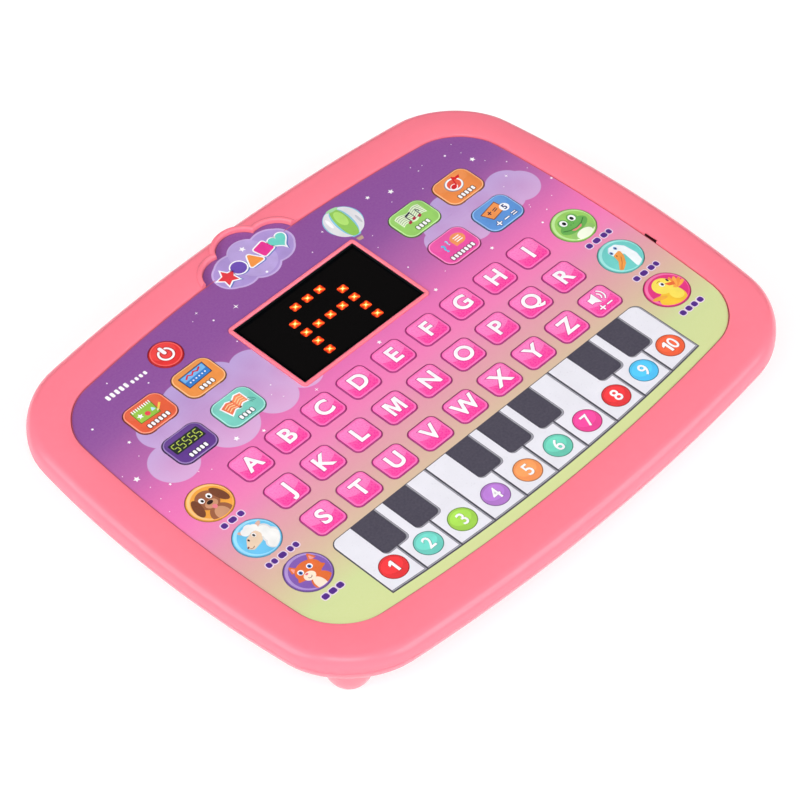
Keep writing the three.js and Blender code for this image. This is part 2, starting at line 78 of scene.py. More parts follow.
class Nodes:
    """Short helpers on one material's node tree."""

    def __init__(self, name):
        self.mat = bpy.data.materials.new(name)
        self.mat.use_nodes = True
        self.t = self.mat.node_tree
        self.b = self.t.nodes["Principled BSDF"]

    def new(self, kind, **props):
        n = self.t.nodes.new(kind)
        for k, v in props.items():
            setattr(n, k, v)
        return n

    def link(self, a, b):
        self.t.links.new(a, b)

    def math(self, op, a, b=None, clamp=False):
        n = self.new("ShaderNodeMath", operation=op, use_clamp=clamp)
        for i, v in enumerate((a, b)):
            if v is None:
                continue
            if isinstance(v, (int, float)):
                n.inputs[i].default_value = v
            else:
                self.link(v, n.inputs[i])
        return n.outputs[0]

    def coords(self):
        return self.new("ShaderNodeTexCoord").outputs["Object"]

    def noise(self, vec, scale, detail=3.0, rough=0.55):
        n = self.new("ShaderNodeTexNoise")
        n.inputs["Scale"].default_value = scale
        n.inputs["Detail"].default_value = detail
        n.inputs["Roughness"].default_value = rough
        self.link(vec, n.inputs["Vector"])
        return n.outputs["Fac"]

    def remap(self, value, a, b, c, d, smooth=False):
        n = self.new("ShaderNodeMapRange")
        if smooth:
            n.interpolation_type = "SMOOTHSTEP"
        for k, v in zip(("From Min", "From Max", "To Min", "To Max"), (a, b, c, d)):
            n.inputs[k].default_value = v
        self.link(value, n.inputs["Value"])
        return n.outputs["Result"]

    def mix(self, fac, a, b):
        n = self.new("ShaderNodeMix", data_type="RGBA")
        self.link(fac, n.inputs["Factor"]) if not isinstance(fac, (int, float)) else setattr(n.inputs["Factor"], "default_value", fac)
        for key, v in (("A", a), ("B", b)):
            socket = [s for s in n.inputs if s.name == key and s.type == "RGBA"][0]
            if isinstance(v, tuple):
                socket.default_value = v
            else:
                self.link(v, socket)
        return [s for s in n.outputs if s.type == "RGBA"][0]

    def bump(self, height, strength, distance):
        n = self.new("ShaderNodeBump")
        n.inputs["Strength"].default_value = strength
        n.inputs["Distance"].default_value = distance
        self.link(height, n.inputs["Height"])
        self.link(n.outputs["Normal"], self.b.inputs["Normal"])


def shade(c, k):
    return tuple(max(0.0, min(255.0, x * k)) for x in c)


def plastic(name, c, rough=0.34, var=0.05, bump=0.12, fine=900, coarse=60, coat=0.0, subsurface=0.0, metallic=0.0, spec=0.5):
    """Moulded or printed plastic: faint mottling, fine texture, uneven gloss."""
    n = Nodes(name)
    vec = n.coords()
    big = n.noise(vec, coarse, 2.0)
    small = n.noise(vec, fine, 3.0)
    col = n.mix(n.remap(big, 0.3, 0.7, 0.0, 1.0), rgba(shade(c, 1 - var)), rgba(shade(c, 1 + var)))
    n.link(col, n.b.inputs["Base Color"])
    n.link(n.remap(small, 0.25, 0.75, rough - 0.05, rough + 0.07), n.b.inputs["Roughness"])
    n.b.inputs["Metallic"].default_value = metallic
    n.b.inputs["Coat Weight"].default_value = coat
    n.b.inputs["Coat Roughness"].default_value = 0.12
    n.b.inputs["Specular IOR Level"].default_value = spec
    if subsurface:
        n.b.inputs["Subsurface Weight"].default_value = subsurface
        n.b.inputs["Subsurface Radius"].default_value = (0.004, 0.0015, 0.0012)
        n.b.inputs["Subsurface Scale"].default_value = 1.0
    n.bump(small, bump, 0.00006)
    return n.mat


_printed = {}


def ink(c, rough=0.3, var=0.03):
    """Printed ink in one colour, with slight density change; the same helper makes the painted shadow pieces at the
    film's edge.
    """
    key = (tuple(c), rough)
    if key not in _printed:
        _printed[key] = plastic("ink_%02x%02x%02x" % tuple(int(x) for x in c), c, rough=rough, var=var, bump=0.06, fine=1600, coarse=160, spec=0.24)
    return _printed[key]


def face_ink(name, top, bottom, h, gloss, rough=0.27):
    """Face of a printed key: colour runs from top to bottom, with the printed gloss patch in the upper part. Object origin at the key's middle."""
    n = Nodes(name)
    vec = n.coords()
    sep = n.new("ShaderNodeSeparateXYZ")
    n.link(vec, sep.inputs[0])
    x, y = sep.outputs[0], sep.outputs[1]
    g = n.remap(y, -h / 2, h / 2, 0.0, 1.0)
    col = n.mix(g, rgba(bottom), rgba(top))
    ex = n.math("POWER", n.math("ABSOLUTE", n.math("DIVIDE", x, h * 0.62)), 2.0)
    ey = n.math("POWER", n.math("ABSOLUTE", n.math("DIVIDE", n.math("SUBTRACT", y, h * 0.30), h * 0.42)), 2.0)
    patch = n.remap(n.math("ADD", ex, ey), 0.92, 1.02, 1.0, 0.0, True)
    col = n.mix(n.math("MULTIPLY", patch, 0.55), col, rgba(gloss))
    small = n.noise(vec, 1500, 2.0)
    col = n.mix(n.remap(small, 0.2, 0.8, 0.0, 0.04), col, rgba(shade(top, 1.06)))
    n.link(col, n.b.inputs["Base Color"])
    n.link(n.remap(small, 0.2, 0.8, rough - 0.04, rough + 0.06), n.b.inputs["Roughness"])
    n.bump(small, 0.04, 0.00005)
    return n.mat


FILM_STOPS = [
    (5.8, (138, 78, 150)), (4.0, (140, 81, 154)), (3.5, (148, 86, 157)), (2.9, (172, 97, 165)), (2.5, (184, 102, 169)),
    (2.0, (210, 108, 175)), (1.5, (230, 116, 180)), (1.2, (236, 118, 182)), (0.8, (241, 124, 183)), (0.5, (240, 131, 182)),
    (0.2, (233, 139, 180)), (-0.2, (228, 152, 173)), (-0.5, (225, 159, 170)), (-0.8, (221, 166, 166)), (-1.2, (218, 178, 163)),
    (-1.48, (216, 186, 160)), (-2.0, (213, 203, 157)), (-2.5, (208, 218, 155)), (-4.2, (213, 221, 155)),
]
CLOUDS = [
    (-5.014, 2.136, 0.53), (-4.627, 2.955, 0.477), (-3.673, 3.045, 0.614), (-2.945, 3.045, 0.568), (-2.173, 2.864, 0.477),
    (-3.559, 2.09, 0.636), (-2.4, 2.0, 0.51), (-1.582, 2.0, 0.41), (-3.7, 2.6, 0.8), (-2.6, 2.5, 0.7), (-1.9, 2.4, 0.5), (-4.5, 2.45, 0.4),
    (3.05, 2.545, 0.39), (3.827, 3.045, 0.477), (5.168, 2.682, 0.477), (5.35, 2.5, 0.455), (4.37, 2.727, 0.545), (3.78, 2.36, 0.386),
    (3.3, 2.85, 0.38), (4.9, 2.45, 0.4),
]
DIVIDER = [X(0.02 + (i - 5) * 0.885) for i in range(11)]
BLACK_AFTER = {1, 2, 4, 5, 6, 8, 9}
PIANO_TOP, BLACK_END, BLACK_HALF = Y(-1.56), Y(-2.52), 0.305 * P


def piano_bottom(x):
    return Y(-3.52) + 0.0119 * P * ((x - X(0.02)) / P) ** 2


def film_material():
    """Printed film: sky gradient, soft clouds, and the dark ground under the piano keys. Coordinates are the part's own."""
    n = Nodes("overlay_film_print")
    vec = n.coords()
    sep = n.new("ShaderNodeSeparateXYZ")
    n.link(vec, sep.inputs[0])
    u = n.math("SUBTRACT", n.math("DIVIDE", sep.outputs[0], P / 1000), 0.03)
    v = n.math("ADD", n.math("DIVIDE", sep.outputs[1], P / 1000), 0.664)
    top, bottom = FILM_STOPS[0][0], FILM_STOPS[-1][0]
    ramp = n.new("ShaderNodeValToRGB")
    n.link(n.remap(v, bottom, top, 0.0, 1.0), ramp.inputs[0])
    el = ramp.color_ramp.elements
    stops = sorted(((s - bottom) / (top - bottom), c) for s, c in FILM_STOPS)
    el[0].position, el[0].color = stops[0][0], rgba(stops[0][1])
    el[1].position, el[1].color = stops[-1][0], rgba(stops[-1][1])
    for p, c in stops[1:-1]:
        e = el.new(p)
        e.color = rgba(c)
    col = ramp.outputs[0]
    # clouds
    comb = n.new("ShaderNodeCombineXYZ")
    n.link(u, comb.inputs[0])
    n.link(v, comb.inputs[1])
    best = None
    for cu, cv, r in CLOUDS:
        d = n.new("ShaderNodeVectorMath", operation="DISTANCE")
        n.link(comb.outputs[0], d.inputs[0])
        d.inputs[1].default_value = (cu, cv, 0)
        e = n.math("SUBTRACT", d.outputs["Value"], r)
        best = e if best is None else n.math("MINIMUM", best, e)
    cloud = n.remap(best, -0.012, 0.012, 1.0, 0.0, True)
    core = n.remap(best, -0.55, 0.0, 0.62, 0.84)
    cloud_col = n.mix(n.remap(v, 1.6, 3.4, 0.0, 1.0), rgba((216, 180, 222)), rgba((192, 171, 224)))
    col = n.mix(n.math("MULTIPLY", cloud, core), col, cloud_col)
    # dark ground of the piano
    x_mm = n.math("MULTIPLY", sep.outputs[0], 1000.0)
    y_mm = n.math("MULTIPLY", sep.outputs[1], 1000.0)
    dx = n.math("SUBTRACT", n.math("ABSOLUTE", n.math("SUBTRACT", x_mm, X(0.02))), 4.425 * P + 0.12)
    top_d = n.math("SUBTRACT", y_mm, PIANO_TOP + 0.12)
    arch = n.math("ADD", n.math("MULTIPLY", n.math("POWER", n.math("DIVIDE", n.math("SUBTRACT", x_mm, X(0.02)), P), 2.0), 0.0119 * P), Y(-3.52) - 0.12)
    low_d = n.math("SUBTRACT", arch, y_mm)
    corner_x = n.math("SUBTRACT", n.math("ABSOLUTE", n.math("SUBTRACT", x_mm, X(0.02))), 4.425 * P + 0.12 - 3.6)
    corner_y = n.math("SUBTRACT", y_mm, PIANO_TOP + 0.12 - 3.6)
    cx, cy = n.math("MAXIMUM", corner_x, 0.0), n.math("MAXIMUM", corner_y, 0.0)
    corner = n.math("SUBTRACT", n.math("SQRT", n.math("ADD", n.math("MULTIPLY", cx, cx), n.math("MULTIPLY", cy, cy))), 3.6)
    box = n.math("MAXIMUM", n.math("MAXIMUM", dx, top_d), n.math("MAXIMUM", low_d, corner))
    ground = n.remap(box, -0.05, 0.05, 1.0, 0.0)
    grain = n.noise(vec, 160, 2.0)
    black = n.mix(grain, rgba((70, 67, 80)), rgba((77, 74, 87)))
    col = n.mix(ground, col, black)
    # print density and the film's fine embossed grain
    small = n.noise(vec, 1100, 3.0)
    col = n.mix(n.remap(small, 0.3, 0.7, 0.0, 0.025), col, rgba((255, 235, 250)))
    n.link(col, n.b.inputs["Base Color"])
    n.link(n.remap(small, 0.3, 0.7, 0.30, 0.42), n.b.inputs["Roughness"])
    n.b.inputs["Specular IOR Level"].default_value = 0.24
    n.bump(small, 0.10, 0.00006)
    return n.mat


def brushed(name, c, rough=0.3):
    n = Nodes(name)
    vec = n.coords()
    m = n.new("ShaderNodeMapping")
    m.inputs["Scale"].default_value = (1.0, 14.0, 1.0)
    n.link(vec, m.inputs["Vector"])
    s = n.noise(m.outputs[0], 700, 4.0)
    n.link(n.mix(s, rgba(shade(c, 0.85)), rgba(shade(c, 1.1))), n.b.inputs["Base Color"])
    n.b.inputs["Metallic"].default_value = 1.0
    n.link(n.remap(s, 0.2, 0.8, rough - 0.08, rough + 0.12), n.b.inputs["Roughness"])
    n.bump(s, 0.15, 0.00004)
    return n.mat


CORAL = (255, 128, 146)


def shell_material():
    """Glossy moulded shell: faint flow marks in the colour, slowly changing gloss, a barely uneven surface."""
    n = Nodes("casing_coral")
    vec = n.coords()
    flow = n.noise(vec, 14, 3.0)
    wide = n.noise(vec, 55, 2.0)
    fine = n.noise(vec, 320, 2.0)
    col = n.mix(n.remap(flow, 0.3, 0.7, 0.0, 1.0), rgba(shade(CORAL, 0.985)), rgba(shade(CORAL, 1.01)))
    col = n.mix(n.remap(fine, 0.3, 0.7, 0.0, 0.02), col, rgba((255, 190, 196)))
    n.link(col, n.b.inputs["Base Color"])
    n.link(n.remap(wide, 0.3, 0.7, 0.16, 0.21), n.b.inputs["Roughness"])
    n.b.inputs["Specular IOR Level"].default_value = 0.32
    n.bump(wide, 0.03, 0.0002)
    return n.mat


shell = shell_material()
film_mat = film_material()
key_edge = ink((158, 42, 112))
key_band = ink((255, 118, 186))
key_face = face_ink("key_face_pink", (255, 112, 188), (250, 62, 156), 0.0125, (255, 150, 210))
white_ink = ink((250, 246, 250))
ivory = plastic("piano_white_print", (234, 232, 240), rough=0.3, var=0.012, bump=0.10, fine=1300, coarse=80)
grey_line = ink((92, 90, 100))
grey_side = ink((160, 158, 168))
window_mat = None


def display_material():
    n = Nodes("display_smoked")
    vec = n.coords()
    sep = n.new("ShaderNodeSeparateXYZ")
    n.link(vec, sep.inputs[0])
    # paler light-guide panel seen through the smoked cover
    ax = n.math("SUBTRACT", n.math("ABSOLUTE", n.math("SUBTRACT", sep.outputs[0], 0.0004)), 0.0288)
    ay = n.math("SUBTRACT", n.math("ABSOLUTE", n.math("SUBTRACT", sep.outputs[1], Y(LIP_V) / 1000)), 0.0169)
    inside = n.remap(n.math("MAXIMUM", ax, ay), -0.0004, 0.0004, 1.0, 0.0, True)
    s = n.noise(vec, 500, 3.0)
    col = n.mix(inside, rgba((1, 3, 5)), rgba((13, 12, 12)))
    col = n.mix(n.remap(s, 0.3, 0.7, 0.0, 0.25), col, rgba((17, 15, 16)))
    n.link(col, n.b.inputs["Base Color"])
    n.link(n.remap(s, 0.3, 0.7, 0.14, 0.18), n.b.inputs["Roughness"])
    n.b.inputs["Specular IOR Level"].default_value = 0.12
    n.bump(s, 0.01, 0.00001)
    return n.mat


def lamp_material():
    """Lit lamp: orange rim, bright centre. The pattern repeats on the lamp grid."""
    n = Nodes("lamp_glow")
    vec = n.coords()
    sep = n.new("ShaderNodeSeparateXYZ")
    n.link(vec, sep.inputs[0])

    def cell(out, origin, pitch):
        k = n.math("DIVIDE", n.math("SUBTRACT", out, origin), pitch)
        f = n.math("SUBTRACT", k, n.math("ROUND", k))
        return n.math("MULTIPLY", f, pitch)

    gx = cell(sep.outputs[0], LAMP_X / 1000, 6.04 / 1000)
    gy = cell(sep.outputs[1], LAMP_Y / 1000, 5.85 / 1000)
    d = n.math("SQRT", n.math("ADD", n.math("MULTIPLY", gx, gx), n.math("MULTIPLY", gy, gy)))
    arms = n.math("ABSOLUTE", n.math("SUBTRACT", n.math("ABSOLUTE", gx), n.math("MULTIPLY", n.math("ABSOLUTE", gy), 1.15)))
    t = n.remap(n.math("ADD", n.math("MULTIPLY", d, 0.55), n.math("MULTIPLY", arms, 0.95)), 0.0001, 0.0021, 0.0, 1.0)
    ramp = n.new("ShaderNodeValToRGB")
    n.link(t, ramp.inputs[0])
    el = ramp.color_ramp.elements
    el[0].position, el[0].color = 0.0, rgba((255, 246, 190))
    el[1].position, el[1].color = 1.0, rgba((150, 30, 6))
    for p, c in ((0.10, (255, 226, 130)), (0.24, (255, 150, 56)), (0.45, (240, 84, 24)), (0.72, (205, 48, 10))):
        e = el.new(p)
        e.color = rgba(c)
    n.link(ramp.outputs[0], n.b.inputs["Base Color"])
    n.link(ramp.outputs[0], n.b.inputs["Emission Color"])
    n.b.inputs["Emission Strength"].default_value = 0.9
    n.b.inputs["Roughness"].default_value = 0.4
    return n.mat


# ------------------------------------------------------------------ mesh building
def distance(s, x, y):
    qx = np.maximum(np.hypot(x - (s["A"] - s["Rs"]), y - s["ys"]), np.hypot(x + (s["A"] - s["Rs"]), y - s["ys"])) - (s["Rs"] - s["Rc"])
    qy = np.maximum(np.hypot(x, y - (s["yT"] - s["Rt"])) - (s["Rt"] - s["Rc"]), np.hypot(x, y - (s["yB"] + s["Rb"])) - (s["Rb"] - s["Rc"]))
    return np.hypot(np.maximum(qx, 0), np.maximum(qy, 0)) + np.minimum(np.maximum(qx, qy), 0) - s["Rc"]


def reach(s, ang, inset):
    lo, hi = np.zeros_like(ang), np.full_like(ang, 200.0)
    c, q = np.cos(ang), np.sin(ang)
    for _ in range(42):
        m = (lo + hi) / 2
        inside = distance(s, m * c, m * q) < -inset
        lo, hi = np.where(inside, m, lo), np.where(inside, hi, m)
    return np.stack([lo * c, lo * q], 1)


def share_angles(n):
    k = 2000
    a = np.linspace(0, 2 * np.pi, k + 1)
    pts = reach(BODY, a, 6.0)
    d = np.diff(pts, axis=0)
    h = np.unwrap(np.arctan2(d[:, 1], d[:, 0]))
    turn = np.abs(np.append(np.diff(h), h[1] - h[0]))
    w = np.concatenate([[0], np.cumsum(np.hypot(d[:, 0], d[:, 1]) + 60 * turn)])
    return np.interp((np.arange(n) + 0.5) / n * w[-1], w, a)


ANG = share_angles(300)


def ring(s, inset, z):
    p = reach(s, ANG, inset)
    return np.column_stack([p, np.full(len(p), float(z))])


def round_rect(cx, cy, w, h, r, n=7):
    out = []
    for sx, sy, a0 in ((1, -1, -90), (1, 1, 0), (-1, 1, 90), (-1, -1, 180)):
        for k in range(n):
            a = math.radians(a0 + 90 * k / (n - 1))
            out.append((cx + sx * (w / 2 - r) + r * math.cos(a), cy + sy * (h / 2 - r) + r * math.sin(a)))
    return out


def circle(cx, cy, r, n=48, rx=None, rot=0.0, a0=0.0, a1=360.0):
    rx = r if rx is None else rx
    full = abs(a1 - a0) >= 360
    out = []
    for k in range(n if full else n + 1):
        a = math.radians(a0 + (a1 - a0) * k / n)
        x, y = rx * math.cos(a), r * math.sin(a)
        out.append((cx + x * math.cos(rot) - y * math.sin(rot), cy + x * math.sin(rot) + y * math.cos(rot)))
    return out


def star(cx, cy, r, points=5, inner=0.45, rot=0.0):
    out = []
    for k in range(points * 2):
        a = math.pi / 2 + rot + math.pi * k / points
        q = r if k % 2 == 0 else r * inner
        out.append((cx + q * math.cos(a), cy + q * math.sin(a)))
    return out


def fillet(pts, seg=5):
    """Polygon with the corner radius given at each point: (x, y, r)."""
    out, n = [], len(pts)
    for i, (x, y, r) in enumerate(pts):
        if r <= 0:
            out.append((x, y))
            continue
        p, a, b = Vector((x, y)), Vector(pts[i - 1][:2]), Vector(pts[(i + 1) % n][:2])
        ua, ub = (a - p).normalized(), (b - p).normalized()
        ang = math.acos(max(-1, min(1, ua.dot(ub))))
        t = r / math.tan(ang / 2)
        t = min(t, (a - p).length * 0.49, (b - p).length * 0.49)
        rr = t * math.tan(ang / 2)
        c = p + (ua + ub).normalized() * (rr / math.sin(ang / 2))
        s, e = p + ua * t, p + ub * t
        a0, a1 = math.atan2(s.y - c.y, s.x - c.x), math.atan2(e.y - c.y, e.x - c.x)
        da = (a1 - a0 + math.pi) % (2 * math.pi) - math.pi
        for k in range(seg + 1):
            q = a0 + da * k / seg
            out.append((c.x + rr * math.cos(q), c.y + rr * math.sin(q)))
    return out


def grow(poly, e):
    """Moves each edge of a polygon outwards by e, with mitred corners."""
    n = len(poly)
    area = sum(poly[i][0] * poly[(i + 1) % n][1] - poly[(i + 1) % n][0] * poly[i][1] for i in range(n))
    sgn = 1 if area > 0 else -1
    out = []
    for i in range(n):
        a, p, b = Vector(poly[i - 1]), Vector(poly[i]), Vector(poly[(i + 1) % n])
        d1, d2 = (p - a), (b - p)
        if d1.length < 1e-9 or d2.length < 1e-9:
            out.append(tuple(p))
            continue
        d1.normalize(), d2.normalize()
        n1, n2 = Vector((d1.y, -d1.x)) * sgn, Vector((d2.y, -d2.x)) * sgn
        m = n1 + n2
        if m.length < 1e-6:
            out.append(tuple(p))
            continue
        m.normalize()
        k = max(0.35, m.dot(n1))
        out.append(tuple(p + m * (e / k)))
    return out


def stroke(pts, w, cap=6):
    """Polygon of a polyline w wide with round ends."""
    left, right = [], []
    n = len(pts)
    vs = [Vector(p) for p in pts]
    for i in range(n):
        if i == 0:
            d = vs[1] - vs[0]
        elif i == n - 1:
            d = vs[-1] - vs[-2]
        else:
            d = (vs[i] - vs[i - 1]).normalized() + (vs[i + 1] - vs[i]).normalized()
        d.normalize()
        m = Vector((-d.y, d.x)) * (w / 2)
        left.append(vs[i] + m)
        right.append(vs[i] - m)
    out = [tuple(p) for p in right]
    d = (vs[-1] - vs[-2]).normalized()
    a = math.atan2(d.y, d.x)
    out += [(vs[-1].x + w / 2 * math.cos(a - math.pi / 2 + math.pi * k / cap), vs[-1].y + w / 2 * math.sin(a - math.pi / 2 + math.pi * k / cap)) for k in range(1, cap)]
    out += [tuple(p) for p in reversed(left)]
    d = (vs[0] - vs[1]).normalized()
    a = math.atan2(d.y, d.x)
    out += [(vs[0].x + w / 2 * math.cos(a - math.pi / 2 + math.pi * k / cap), vs[0].y + w / 2 * math.sin(a - math.pi / 2 + math.pi * k / cap)) for k in range(1, cap)]
    return out


def arc(cx, cy, r, a0, a1, n=14):
    return [(cx + r * math.cos(math.radians(a0 + (a1 - a0) * k / n)), cy + r * math.sin(math.radians(a0 + (a1 - a0) * k / n))) for k in range(n + 1)]


def cloud_outline(lobes, e=0.0, n=200, centre=None):
    """Outline round a set of overlapping circles (x, y, r), seen from their middle."""
    cx, cy = centre or (sum(l[0] for l in lobes) / len(lobes), sum(l[1] for l in lobes) / len(lobes))
    out = []
    for k in range(n):
        a = 2 * math.pi * k / n
        dx, dy = math.cos(a), math.sin(a)
        far = 0.0
        for x, y, r in lobes:
            r = r + e
            b = dx * (x - cx) + dy * (y - cy)
            disc = b * b - ((x - cx) ** 2 + (y - cy) ** 2 - r * r)
            if disc >= 0:
                far = max(far, b + math.sqrt(disc))
        out.append((cx + far * dx, cy + far * dy))
    return out


GLYPHS = {
    "M": [(0, 0), (0, 1), (0.28, 1), (0.48, 0.40), (0.68, 1), (0.96, 1), (0.96, 0), (0.77, 0), (0.77, 0.70), (0.56, 0.06), (0.40, 0.06), (0.19, 0.70), (0.19, 0)],
    "1": [(0.20, 0), (0.20, 0.70), (0.0, 0.60), (0.0, 0.78), (0.24, 1), (0.41, 1), (0.41, 0)],
}


class Build:
    """Collects closed shells, in millimetres, each with a material index."""

    def __init__(self):
        self.v, self.f, self.m, self.mats = [], [], [], []

    def mat(self, material):
        if material not in self.mats:
            self.mats.append(material)
        return self.mats.index(material)

    def add(self, verts, faces, material):
        k = material if isinstance(material, list) else [material] * len(faces)
        base = len(self.v)
        self.v.extend(tuple(map(float, p)) for p in verts)
        self.f.extend([i + base for i in f] for f in faces)
        self.m.extend(self.mat(x) for x in k)

    def loft(self, rings, material, closed=False, bands=None, cap_material=None):
        """bands: one material for each step between rings."""
        n = len(rings[0])
        verts = [p for r in rings for p in r]
        faces, mats = [], []
        steps = len(rings) if closed else len(rings) - 1
        for k in range(steps):
            k2 = (k + 1) % len(rings)
            for i in range(n):
                j = (i + 1) % n
                faces.append([k * n + i, k * n + j, k2 * n + j, k2 * n + i])
                mats.append(bands[k] if bands else material)
        if not closed:
            faces.append(list(range(n))[::-1])
            mats.append(bands[0] if bands else material)
            faces.append([(len(rings) - 1) * n + i for i in range(n)])
            mats.append(cap_material or material)
        self.add(verts, faces, mats)

    def plate(self, poly, z0, z1, material, holes=()):
        loops = [list(poly)] + [list(h) for h in holes]
        verts, faces = [], []
        flat = [p for l in loops for p in l]
        n = len(flat)
        verts = [(x, y, z0) for x, y in flat] + [(x, y, z1) for x, y in flat]
        start = 0
        for l in loops:
            m = len(l)
            for i in range(m):
                j = (i + 1) % m
                faces.append([start + i, start + j, start + j + n, start + i + n])
            start += m
        if len(loops) == 1:
            faces.append(list(range(n))[::-1])
            faces.append([i + n for i in range(n)])
        else:
            tris = tessellate_polygon([[Vector((x, y, 0)) for x, y in l] for l in loops])
            for a, b, c in tris:
                faces.append([c, b, a])
                faces.append([a + n, b + n, c + n])
        self.add(verts, faces, material)

    def dome(self, poly, z0, z1, inset, material, top=None, edge=None, steps=3, edge_w=0.4):
        """Plate with a rounded top edge: edge is the printed outline."""
        rings = [[(x, y, z0) for x, y in poly], [(x, y, z1 - 0.6 * inset) for x, y in poly]]
        bands = [edge or material]
        for k in range(1, steps + 1):
            a = math.pi / 2 * k / steps
            g = grow(poly, -inset * (1 - math.cos(a)))
            rings.append([(x, y, z1 - 0.6 * inset * (1 - math.sin(a))) for x, y in g])
            bands.append(edge or material)
        if edge:
            g = grow(poly, -inset - edge_w)
            rings.append([(x, y, z1 + 0.01) for x, y in g])
            bands.append(edge)
        self.loft(rings, material, bands=bands, cap_material=top or material)

    def text(self, s, cx, cy, h, z0, z1, material, bold=0.0, squeeze=1.0):
        cu = bpy.data.curves.new("t", "FONT")
        cu.body = s
        cu.size = 1.0
        cu.offset = bold
        cu.extrude = 0.5
        cu.resolution_u = 6
        ob = bpy.data.objects.new("t", cu)
        bpy.context.scene.collection.objects.link(ob)
        bpy.context.view_layer.update()
        me = bpy.data.meshes.new_from_object(ob.evaluated_get(bpy.context.evaluated_depsgraph_get()))
        co = np.array([v.co for v in me.vertices], float)
        faces = [list(p.vertices) for p in me.polygons]
        bpy.data.objects.remove(ob)
        bpy.data.curves.remove(cu)
        bpy.data.meshes.remove(me)
        cap = CAP_HEIGHT + 2 * bold
        k = h / cap
        xm = (co[:, 0].min() + co[:, 0].max()) / 2
        pts = [(cx + (p[0] - xm) * k * squeeze, cy + (p[1] - CAP_HEIGHT / 2) * k, z0 if p[2] < 0 else z1) for p in co]
        self.add(pts, faces, material)

    def glyph(self, s, cx, cy, h, z0, z1, material, fat=0.0):
        """Generic glyphs drawn as outlines, with the height of a capital h."""
        pts = GLYPHS[s]
        w = max(p[0] for p in pts)
        poly = [(cx + (p[0] - w / 2) * h, cy + (p[1] - 0.5) * h) for p in pts]
        self.plate(grow(poly, fat) if fat else poly, z0, z1, material)

    def object(self, name, body, slot=None, replaces=(), origin=(0, 0, 0), angle=32, merge=True):
        ox, oy, oz = origin
        me = bpy.data.meshes.new(name)
        me.from_pydata([((x - ox) / 1000, (y - oy) / 1000, (z - oz) / 1000) for x, y, z in self.v], [], self.f)
        for m in self.mats:
            me.materials.append(m)
        me.polygons.foreach_set("material_index", self.m)
        finish_mesh(me, angle, merge)
        ob = bpy.data.objects.new(name, me)
        bpy.context.scene.collection.objects.link(ob)
        ob.location = (ox / 1000, oy / 1000, oz / 1000)
        return settle(ob, body, replaces)

    def raw(self, name="raw"):
        me = bpy.data.meshes.new(name)
        me.from_pydata([(x / 1000, y / 1000, z / 1000) for x, y, z in self.v], [], self.f)
        bm = bmesh.new()
        bm.from_mesh(me)
        bmesh.ops.recalc_face_normals(bm, faces=bm.faces)
        bm.to_mesh(me)
        bm.free()
        ob = bpy.data.objects.new(name, me)
        bpy.context.scene.collection.objects.link(ob)
        return ob


def finish_mesh(me, angle, merge=True):
    bm = bmesh.new()
    bm.from_mesh(me)
    if merge:
        bmesh.ops.remove_doubles(bm, verts=bm.verts, dist=2e-7)
    bmesh.ops.recalc_face_normals(bm, faces=bm.faces)
    bm.to_mesh(me)
    bm.free()
    me.polygons.foreach_set("use_smooth", [True] * len(me.polygons))
    me.set_sharp_from_angle(angle=math.radians(angle))
    me.update()


def settle(ob, body, replaces):
    if body:
        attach(ob, body)
    if replaces:
        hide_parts(*([replaces] if isinstance(replaces, str) else replaces))
    return ob


def boolean(ob, cutter, op="DIFFERENCE", keep=False):
    mod = ob.modifiers.new("b", "BOOLEAN")
    mod.operation = op
    mod.object = cutter
    mod.solver = "MANIFOLD"
    bpy.context.view_layer.update()
    me = bpy.data.meshes.new_from_object(ob.evaluated_get(bpy.context.evaluated_depsgraph_get()))
    ob.modifiers.clear()
    old = ob.data
    ob.data = me
    bpy.data.meshes.remove(old)
    if not keep:
        data = cutter.data
        bpy.data.objects.remove(cutter)
        bpy.data.meshes.remove(data)
    if len(me.polygons) < 4:
        raise RuntimeError("a boolean left nothing of " + ob.name)
    return ob


def solid(*shapes):
    """One raw object from (polygon, z0, z1) prisms or lists of rings."""
    b = Build()
    for s in shapes:
        if isinstance(s, tuple):
            b.plate(s[0], s[1], s[2], None)
        else:
            b.loft(s, None)
    return b.raw()


def box_poly(x0, x1, y0, y1):
    return [(x0, y0), (x1, y0), (x1, y1), (x0, y1)]


def lathe_rings(x, y, profile, n=40):
    out = []
    for r, z in profile:
        out.append([(x + max(r, 0.001) * math.cos(2 * math.pi * k / n), y + max(r, 0.001) * math.sin(2 * math.pi * k / n), z) for k in range(n)])
    return out


def claim(ob, name, material, body, replaces, angle=32, more=()):
    ob.name = name
    ob.data.name = name
    ob.data.materials.clear()
    ob.data.materials.append(material)
    for m in more:
        ob.data.materials.append(m)
    ob.data.polygons.foreach_set("material_index", [0] * len(ob.data.polygons))
    finish_mesh(ob.data, angle, merge=True)
    return settle(ob, body, replaces)


_probe = Build()
CAP_HEIGHT = 0.7
_probe.text("H", 0, 0, 1, 0, 1, None)
_ys = [p[1] for p in _probe.v]
CAP_HEIGHT = 0.7 * (max(_ys) - min(_ys))

# ------------------------------------------------------------------ front casing
LOBES = [(X(-0.03), Y(5.35), 0.575 * P), (X(-0.70), Y(5.03), 0.575 * P), (X(0.64), Y(5.03), 0.575 * P)]


def mid(a, b, t, z):
    m = a * (1 - t) + b * t
    m[:, 2] = z
    return m


